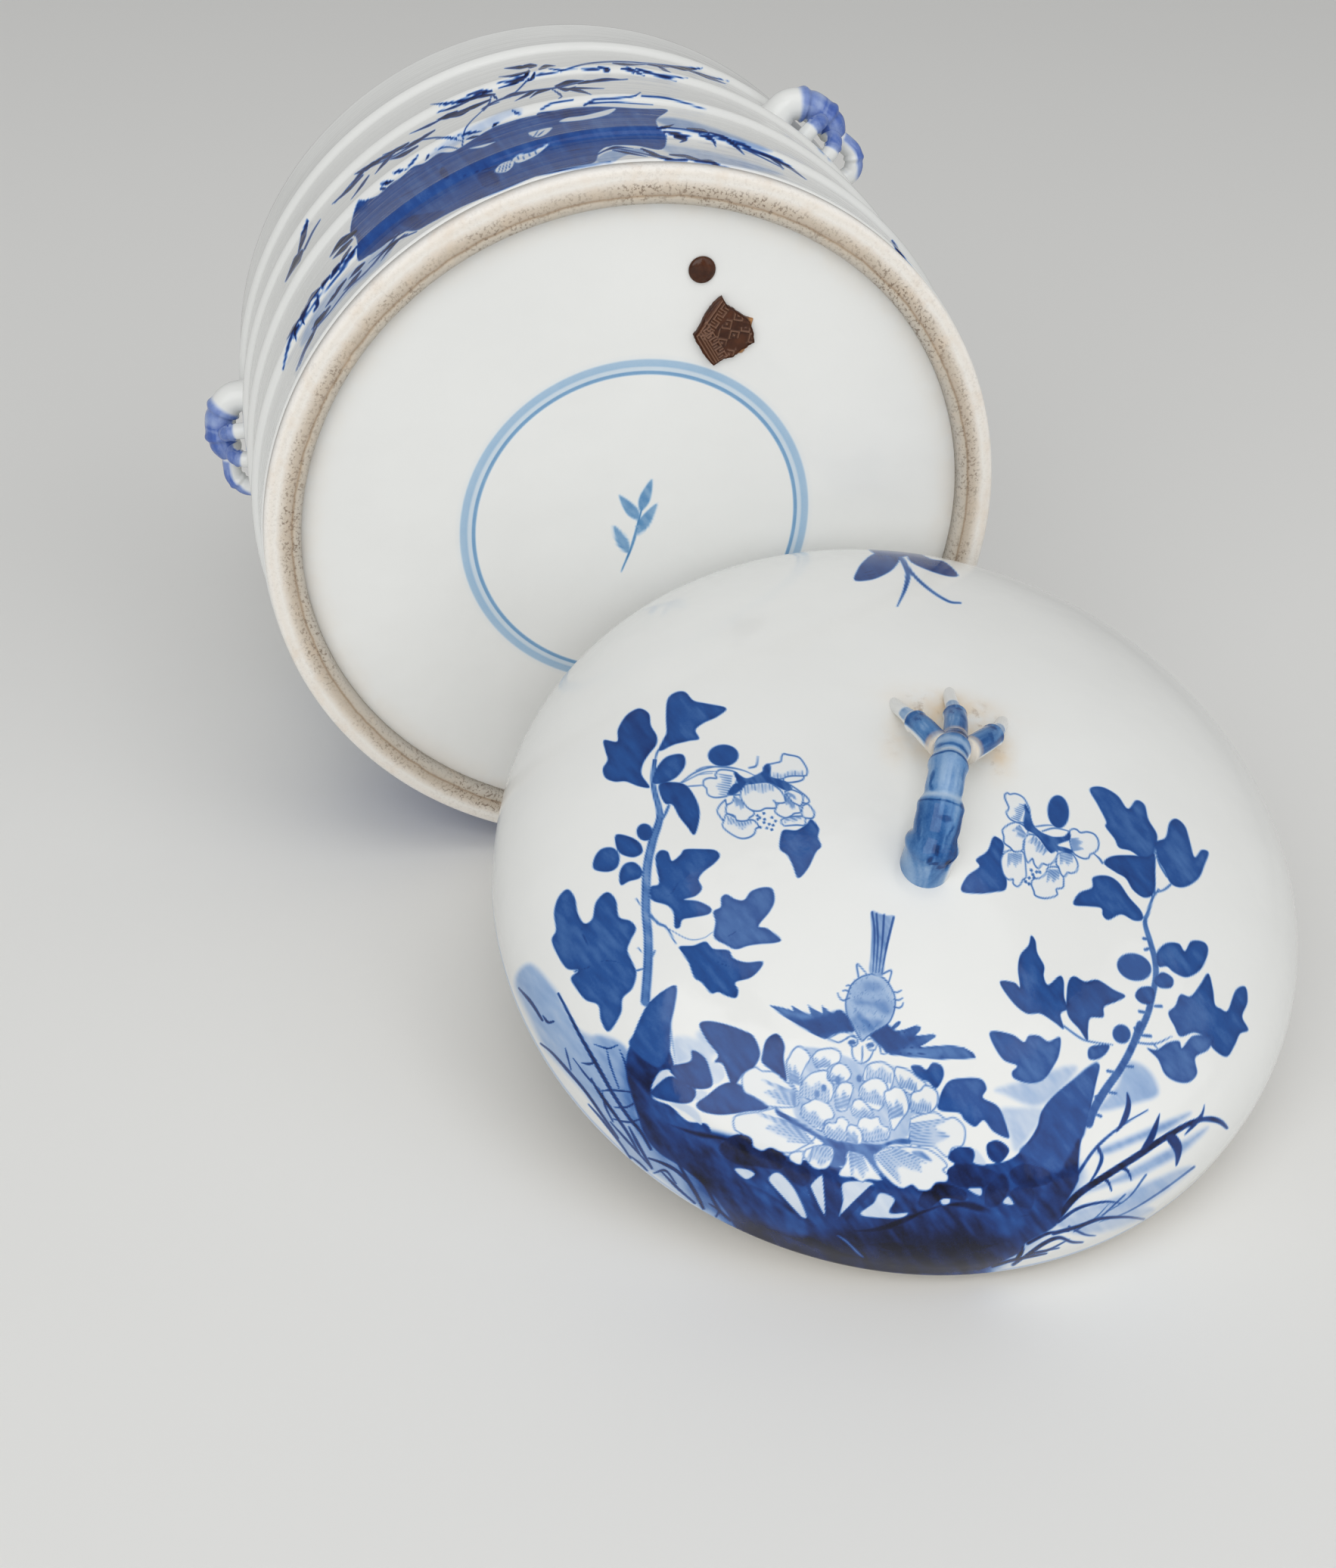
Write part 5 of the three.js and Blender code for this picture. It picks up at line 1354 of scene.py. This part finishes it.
# Bamboo stems: handles and finial
def tube(path, radii, sides):
    count = len(path)
    tangents = np.gradient(path, axis=0)
    tangents /= np.linalg.norm(tangents, axis=1)[:, None]
    normal = np.cross(tangents[0], (0.0, 0.0, 1.0))
    if np.linalg.norm(normal) < 0.2:
        normal = np.cross(tangents[0], (1.0, 0.0, 0.0))
    points, ups = [], []
    a = np.arange(sides) * 2 * math.pi / sides
    for centre, tangent, r in zip(path, tangents, radii):
        normal = normal - tangent * np.dot(normal, tangent)
        normal /= np.linalg.norm(normal)
        other = np.cross(tangent, normal)
        around = np.outer(np.cos(a), normal) + np.outer(np.sin(a), other)
        points.append(centre + around * r)
        ups.append(around)
    points = np.concatenate([*points, [path[0]], [path[-1]]])
    ring = np.arange(sides)
    ahead = np.roll(ring, -1)
    quads = np.concatenate([i * sides + np.column_stack([ring, ahead, ahead + sides, ring + sides])
                            for i in range(count - 1)])
    first, last, end = count * sides, count * sides + 1, (count - 1) * sides
    tris = np.concatenate([np.column_stack([np.full(sides, first), ahead, ring]),
                           np.column_stack([np.full(sides, last), end + ring, end + ahead])])
    share = np.concatenate([np.repeat(np.linspace(0, 1, count), sides), [0, 1]])
    out = np.concatenate([*ups, [-tangents[0]], [tangents[-1]]])
    return points, quads, tris, share, out


# a joint swells and has a narrow neck after it, in shares of the stem's length and radius
bamboo = {"swell": 0.13, "swellHalf": 0.035, "neck": 0.07, "neckAfter": 0.045, "neckHalf": 0.03,
          "root": 0.1, "tipFrom": 0.8, "tip": 0.2, "bluntFrom": 0.93, "blunt": 0.0701}


def bambooRadii(radius, joints, share, root=0.0, tip=1.0, blunt=True):
    r = np.full(len(share), radius)
    for joint in joints:
        past = share - joint
        swell = bamboo["swell"] * np.exp(-((past / bamboo["swellHalf"]) ** 2))
        neck = bamboo["neck"] * np.exp(-(((past - bamboo["neckAfter"]) / bamboo["neckHalf"]) ** 2))
        r = r + radius * (swell - neck)
    r = r * (1 + root * np.exp(-((share / bamboo["root"]) ** 2)))
    r = r * (1 - (1 - tip) * ease((share - bamboo["tipFrom"]) / bamboo["tip"]))
    if blunt:
        past = np.clip(share - bamboo["bluntFrom"], 0, 1) / bamboo["blunt"]
        r = r * np.sqrt(np.clip(1 - past**2, 0.001, 1))
    return r


def stemPiece(name, node, body, toWorld, points, radii, wash, outward, across, sides=48):
    path = evenly(lineThrough(points, 16), len(radii))
    local, quads, tris, share, out = tube(path, radii, sides)
    facing, side = np.einsum("ij,ij->i", out, outward(local)), out @ np.array(across, float)
    angle = np.arctan2(side, facing)
    streak = 0.6 * cloud(angle * 2.6 + 40, share * 5, 1.0, 51) + 0.4 * cloud(angle * 7 + 40, share * 9, 1.0, 52)
    cover = ease((facing - wash["lean"] * np.maximum(side, 0) ** 2 - wash["edge"] + 0.3 * (streak - 0.5)) / 0.25)
    pigment = np.interp(share, *zip(*wash["tones"])) * (0.62 + 0.76 * streak)
    ragged, rough = cloud(angle * 2 + 40, share * 18, 1.0, 56), cloud(angle * 1.5 + 40, share * 24, 1.0, 57)
    for at, where, length, width, tone in wash["dabs"]:
        far = (share - at + 0.03 * (ragged - 0.5)) / length, (side - where + 0.4 * (rough - 0.5)) / width
        dab = np.exp(-(far[0] ** 2) - far[1] ** 2) * (facing > -0.2)
        pigment = np.maximum(pigment, tone * ease(dab * (0.9 + streak) - 0.2))
    for at, tone, pale in wash["lines"]:  # at each joint a dark line, and above it a pale line that is a painted highlight
        wavy = share - at - 0.03 * (cloud(angle * 1.3 + 40, 30 * at + 0 * share, 1.0, 54) - 0.5)
        width = 0.006 + 0.016 * cloud(angle * 2 + 40, 50 * at + 0 * share, 1.0, 55)
        pigment = pigment * (1 - pale * np.exp(-(((wavy - 0.03) / 0.016) ** 2)) * (0.5 + streak))
        pigment = np.maximum(pigment, tone * np.clip(np.exp(-((wavy / width) ** 2)) * (0.6 + 0.8 * streak), 0, 1))
    pigment = pigment * cover * ease((share - wash["from"]) / 0.06) * ease((wash["to"] - share) / 0.06)
    bulge = 1 + 0.035 * (cloud(share * 20, facing * 5, 3.0, 53) - 0.5)
    centre = np.concatenate([np.repeat(path, sides, axis=0), [path[0]], [path[-1]]])
    local = centre + (local - centre) * bulge[:, None]
    marks = {"pigment": np.clip(pigment, 0, 1), "violet": np.full(len(share), wash["violet"]),
             "stain": 0.7 * ease((wash.get("grime", -1) - share) / 0.05)}
    piece = makePiece(name, toWorld(local), quads, tris, marks)
    settle(piece, body, [node], stemGlaze)


def camel(name):
    return "".join(word.capitalize() for word in name.split("_"))


def potOutward(p):
    flat = np.column_stack([p[:, 0], p[:, 1], np.zeros(len(p))])
    return flat / np.linalg.norm(flat, axis=1)[:, None]


def buildHandle(name, angle, side):
    half, reach, spanned, loop = handles["half"], handles["reach"], handles["spread"], handles["loopSpan"]

    def at(along, out, up):
        turned = math.radians(angle) + side * along / handles["radius"]
        r = handles["radius"] + out
        return (r * math.cos(turned), r * math.sin(turned), handles["height"] + up)

    share = np.linspace(0, 1, 96)
    stemPath = [at(-half - 0.5, -3, 0), at(-half + 0.3, reach * 0.45, 0.4), at(-half * 0.45, reach * 0.95, 0.6),
                at(half * 0.25, reach, 0.2), at(half * 0.8, reach * 0.72, -0.5)]
    title = f"handle{camel(name)}"
    radii = bambooRadii(handles["stem"], (0.42, 0.72), share, 0.25, 0.8)
    stemPiece(f"{title}Stem", f"handle_{name}_stem", "container", potToWorld, stemPath, radii, handles["wash"],
              potOutward, (0, 0, 1))
    twigs = {
        "twig_upper": [at(0, 7.2, -2), at(-half * 0.15, 7.4, -spanned * 0.75), at(-half * 0.3, 3.8, -spanned - 0.6),
                       at(-half * 0.33, -2.5, -spanned - 1)],
        "twig_lower": [at(half * 0.45, 6.4, -1.5), at(half * 0.58, 6.2, -spanned * 0.7),
                       at(half * 0.65, 2.6, -spanned), at(half * 0.65, -2.5, -spanned - 0.4)],
        "twig_loop": [at(half * 0.6, 7.2, -0.4), at(half + 1, 8.2, -0.8), at(half + loop * 0.55, 8.2, -1.4),
                      at(half + loop, 4.4, -2.2), at(half + loop * 0.93, -2.5, -2.6)],
    }
    share = np.linspace(0, 1, 60)
    for twig, path in twigs.items():
        wash = handles["loopWash"] if twig == "twig_loop" else handles["twigWash"]
        radius = handles["loop"] if twig == "twig_loop" else handles["twig"]
        radii = bambooRadii(radius, (0.5,), share, 0.0, 1.25, blunt=False)
        stemPiece(title + camel(twig), f"handle_{name}_{twig}", "container", potToWorld, path, radii, wash,
                  potOutward, (0, 0, 1), 32)


for handleName, (angle, side) in handles["places"].items():
    buildHandle(handleName, angle, side)
print("handles made")


def finialToWorld(p):  # the finial is turned a little on the lid
    a = math.radians(finial["turn"])
    turned = [p[:, 0] * math.cos(a) - p[:, 1] * math.sin(a), p[:, 0] * math.sin(a) + p[:, 1] * math.cos(a), p[:, 2]]
    return lidToWorld(np.column_stack(turned))


def buildFinial():
    half, rise, top, bend, end = finial["half"], finial["rise"], dome["height"], finial["bend"], finial["end"]
    upward = lambda p: np.tile((0.0, 0.0, 1.0), (len(p), 1))
    path = [(-bend * 0.6, -half - 0.5, top - 7), (-bend * 0.6, -half + 2.5, top + rise * 0.52),
            (-bend * 0.4, -half * 0.45, top + rise * 0.95), (0, -half * 0.1, top + rise * 0.95),
            (bend * 0.6, end * 0.4, top + rise * 0.78), (bend, end, top + rise * 0.52)]
    share = np.linspace(0, 1, 210)
    radii = bambooRadii(1, finial["joints"], share) * np.interp(share, *zip(*finial["stem"]))
    stemPiece("finialStem", "finial_stem", "lid", finialToWorld, path, radii, finial["wash"], upward, (1, 0, 0),
              72)
    share = np.linspace(0, 1, 80)
    for name, side in (("left", -1), ("middle", 0), ("right", 1)):
        out, start = finial["spread"] * side, end - (4 if side == 0 else 6)
        reach = finial["length"] * (1.2 if side == 0 else 1)
        path = [(bend * 0.7 + out * 0.25, start, top + rise * 0.72),
                (bend + out * 0.68, start + reach * 0.4, top + rise * 0.52),
                (bend + out * 0.97, start + reach * 0.76, top + rise * 0.24),
                (bend + out * 1.18, start + reach * 1.2, top - 3.2)]
        radii = np.interp(share, *zip(*finial["twig"])) * (1 + 0.08 * np.exp(-(((share - 0.44) / 0.03) ** 2)))
        stemPiece(f"finialTwig{name.capitalize()}", f"finial_twig_{name}", "lid", finialToWorld, path, radii,
                  finial["twigWash"], upward, (1, 0, 0), 44)


buildFinial()
print("finial made")


# Sealing wax on the base
wax = {"drop": (15.5, -81.0), "dropRadius": 4.0, "dropHeight": 1.6, "seal": (23.0, -62.0), "sealThickness": 2.0,
       "under": 4.5,  # height of the base over the foot
       "outline": [(-1.3, -11.3), (0.3, -8.5), (5.4, -5.3), (7.7, -3.4), (9.0, 0.0), (9.3, 3.0), (6.3, 4.9), (3.3, 7.4),
                   (0.2, 8.1), (-2.7, 10.0), (-5.2, 7.2), (-7.3, 3.8), (-8.9, 0.5), (-7.3, -2.2), (-5.6, -6.2),
                   (-3.4, -9.2)],
       # the left corner with its two edges: heading, way inward, ridges and fret band (from, to, period)
       "corner": (-8.9, 0.5), "ground": 5.2,
       "edges": [((0.54, 0.84), (0.84, -0.54), (0.5, 1.5, 2.3), (2.8, 5.4, 3.6)),
                 ((0.54, -0.84), (0.84, 0.54), (0.7,), (1.5, 4.1, 3.6))]}


def waxMaterial(name, low, high):
    material, tree, shader, place = newMaterial(name)
    swirl = noise(tree, place, 320, 4, 0.6)
    body = mixColour(tree, spread(tree, swirl, 0.35, 0.65), rgb(56, 27, 12), rgb(80, 43, 22))
    # the raised relief lines are coloured lighter: a painted highlight on the relief
    highlitRelief = mixColour(tree, markOf(tree, "pressed"), body, rgb(120, 88, 70))
    broken = mixColour(tree, markOf(tree, "broken"), highlitRelief, rgb(216, 154, 92))
    tree.links.new(broken, shader.inputs["Base Color"])
    shader.inputs["Specular IOR Level"].default_value = 0.3
    tree.links.new(spread(tree, swirl, 0.3, 0.7, low, high), shader.inputs["Roughness"])
    roughen(tree, shader, noise(tree, place, 1500, 3), 0.25, 0.0002)
    return material


def ridge(depth, at, half):
    return np.exp(-(((depth - at) / half) ** 2))


def keyFret(along, depth, low, high, period):  # a square wave with a hook in each bay
    share, x = (depth - low) / (high - low), (along / period) % 1
    posts = np.maximum(np.maximum(ridge(x, 0, 0.075), ridge(x, 1, 0.075)), ridge(x, 0.5, 0.075))
    rails = ridge(share, 0.1, 0.11) * (x < 0.5) + ridge(share, 0.9, 0.11) * (x > 0.5)
    hooks = ridge(x, 0.25, 0.07) * (share > 0.4) + ridge(x, 0.75, 0.07) * (share < 0.6)
    return np.maximum(np.maximum(rails, posts), hooks) * (share > 0) * (share < 1)


def fretDepth(x, y):
    lines = np.zeros(len(x))
    field = np.full(len(x), 1e9)
    corner = np.array(wax["corner"])
    for ahead, inward, ridges, band in wax["edges"]:
        along = (x - corner[0]) * ahead[0] + (y - corner[1]) * ahead[1]
        depth = (x - corner[0]) * inward[0] + (y - corner[1]) * inward[1]
        for at in ridges:
            lines = np.maximum(lines, ridge(depth, at, 0.28) * (field > at - 0.3))
        low, high, period = band
        lines = np.maximum(lines, keyFret(along, depth, low, high, period) * (field > low))
        field = np.minimum(field, depth)
    c, s = math.cos(0.6), math.sin(0.6)
    a, b = ((x * c - y * s) / 4.2) % 1 - 0.5, ((x * s + y * c) / 4.2) % 1 - 0.5
    lozenge = ridge(np.abs(a) + np.abs(b), 0.42, 0.08) + ridge(np.abs(a) + np.abs(b), 0.0, 0.12)
    inside = (field > wax["ground"]) * ease((cloud(x, y, 2.6, 64) - 0.25) / 0.3)
    return np.clip(np.maximum(lines, lozenge * inside), 0, 1)


def buildWax():
    r, h = wax["dropRadius"], wax["dropHeight"]
    a = np.linspace(0, math.pi / 2, 14)
    skin = [(r * math.sin(k) ** 0.9, -h * math.cos(k) ** 0.8) for k in a[1:]]
    profile = [(0, -h), *skin, (r * 0.98, 0.15), (0, 0.15)]
    points, quads, tris, _ = turn(profile, allRound(64))
    x, y, z = points.T
    z = z * (1 + 0.08 * np.sin(x * 0.8 + 1))
    local = np.column_stack([x + wax["drop"][0], y + wax["drop"][1], z + wax["under"]])
    none = np.zeros(len(x))
    piece = makePiece("waxDrop", potToWorld(local), quads, tris, {"broken": none, "pressed": none})
    settle(piece, "container", ["wax_drop"], waxMaterial("waxSmooth", 0.12, 0.2))
    # the seal is a grid from its middle to its broken outline
    rings, segments = 72, 320
    corners = np.array(wax["outline"])
    ragged = evenly(np.concatenate([corners, corners[:1]]), segments + 1)[:-1]
    ragged = ragged * (1 + 0.03 * (cloud(np.arange(segments) * 0.3, np.zeros(segments), 3.0, 61) - 0.5)
                       - 0.03 * cloud(np.arange(segments) * 0.6, np.zeros(segments), 2.0, 62))[:, None]
    shares = np.linspace(0, 1, rings)[1:]
    top = np.concatenate([[[0.0, 0.0]], *[ragged * s for s in shares]])
    edge = np.concatenate([[0.0], np.repeat(shares, segments)])
    # the relief mask raises the lines, and the wax material lightens them as a painted highlight
    pressed = fretDepth(top[:, 0], top[:, 1]) * ease((0.97 - edge) / 0.05)
    height = -wax["sealThickness"] + 0.5 * (1 - pressed) * ease((1 - edge) / 0.02 + 0.4)
    height = height + 0.25 * ease((edge - 0.93) / 0.07)
    height = height + 0.25 * (cloud(top[:, 0], top[:, 1], 5, 63) - 0.5)
    height = np.maximum(height, -wax["sealThickness"])
    angle = np.arctan2(ragged[:, 1], ragged[:, 0])
    crumbs = np.maximum(ridge(angle, 0.75, 0.22), ridge(angle, -0.4, 0.12))
    crumbs = crumbs * (0.6 + 0.8 * cloud(angle * 12 + 40, angle * 0, 1.0, 65))
    floorRing = ragged * (1.02 + 0.16 * crumbs)[:, None]  # thin broken wax left on the glaze
    bottom = np.column_stack([floorRing, np.full(segments, 0.1)])
    points = np.concatenate([np.column_stack([top, height]), bottom, [[0, 0, 0.1]]])
    ring = np.arange(segments)
    ahead = np.roll(ring, -1)
    starts = [1 + k * segments for k in range(rings)]
    quads = np.concatenate([np.column_stack([s + ring, t + ring, t + ahead, s + ahead])
                            for s, t in zip(starts[:-1], starts[1:])])
    hub, last = len(points) - 1, starts[-1]
    tris = np.concatenate([np.column_stack([np.zeros(segments, int), 1 + ring, 1 + ahead]),
                           np.column_stack([np.full(segments, hub), last + ahead, last + ring])])
    if np.cross(np.append(corners[0], 0), np.append(corners[1], 0))[2] > 0:
        quads, tris = quads[:, ::-1], tris[:, ::-1]
    broken = np.concatenate([np.zeros(len(top)), np.clip(crumbs * 1.3, 0, 1), [0]])
    broken[len(top) - segments:len(top)] = 0.35 * np.clip(crumbs, 0, 1)
    local = points + np.array([wax["seal"][0], wax["seal"][1], wax["under"]])
    piece = makePiece("waxSeal", potToWorld(local), quads, tris,
                      {"broken": broken, "pressed": np.concatenate([pressed, np.zeros(segments + 1)])})
    settle(piece, "container", ["wax_seal"], waxMaterial("waxPressed", 0.28, 0.45))


buildWax()
print("wax made")


# Floor, light and camera
studio = {"floorSize": 8.0, "floor": (240, 240, 238), "floorDim": 0.985,
          "world": 0.33, "backdrop": 0.5, "around": (240, 240, 239),
          "lamps": [  # place in m, size, power, aim
              ((-1.5, -2.6, 1.9), 3.0, 64, (0.0, 0.0, 0.08)),
              ((2.2, -2.2, 1.7), 3.0, 25, (0.0, 0.0, 0.08)),
              ((0.2, -1.0, 3.0), 2.4, 22, (0.0, 0.0, 0.08)),
          ]}


def floorMaterial():
    material, tree, shader, place = newMaterial("floorPaper")
    pale = rgb(*studio["floor"])
    dim = tuple(c * studio["floorDim"] for c in pale[:3]) + (1.0,)
    tree.links.new(mixColour(tree, noise(tree, place, 3, 2), pale, dim), shader.inputs["Base Color"])
    shader.inputs["Roughness"].default_value = 0.5
    return material


def buildStudio():
    half = studio["floorSize"] / 2
    points = np.array([(-half, -half, 0), (half, -half, 0), (half, half, 0), (-half, half, 0)], float)
    floor = makePiece("floor", points, np.array([[0, 1, 2, 3]]), np.zeros((0, 3), int), {})
    floor.data.materials.append(floorMaterial())
    for i, (place, size, power, aim) in enumerate(studio["lamps"]):
        lamp = bpy.data.lights.new(f"softbox{i + 1}", "AREA")
        lamp.shape = "SQUARE"
        lamp.size = size
        lamp.energy = power
        holder = bpy.data.objects.new(f"softbox{i + 1}", lamp)
        holder.location = place
        holder.rotation_euler = (Vector(aim) - Vector(place)).to_track_quat("-Z", "Y").to_euler()
        scene.collection.objects.link(holder)
    world = bpy.data.worlds.new("studio")
    world.use_nodes = True
    tree = world.node_tree
    rays = addNode(tree, "ShaderNodeLightPath").outputs
    mirrored = maths(tree, "MAXIMUM", rays["Is Glossy Ray"], rays["Is Transmission Ray"])
    shown = maths(tree, "MAXIMUM", rays["Is Camera Ray"], mirrored)
    around = tree.nodes["Background"].inputs
    around[0].default_value = rgb(*studio["around"])
    tree.links.new(spread(tree, shown, 0, 1, studio["world"], studio["backdrop"]), around[1])
    scene.world = world
    camera = bpy.data.cameras.new("camera")
    camera.lens = eye["lens"]
    camera.sensor_fit = "VERTICAL"
    camera.sensor_height = eye["sensor"]
    camera.clip_end = eye["farthest"]
    holder = bpy.data.objects.new("camera", camera)
    holder.location = eye["place"]
    holder.rotation_euler = eyeTurn().to_euler()
    scene.collection.objects.link(holder)
    scene.camera = holder
    scene.view_settings.view_transform = "Standard"


buildStudio()
print("studio set")
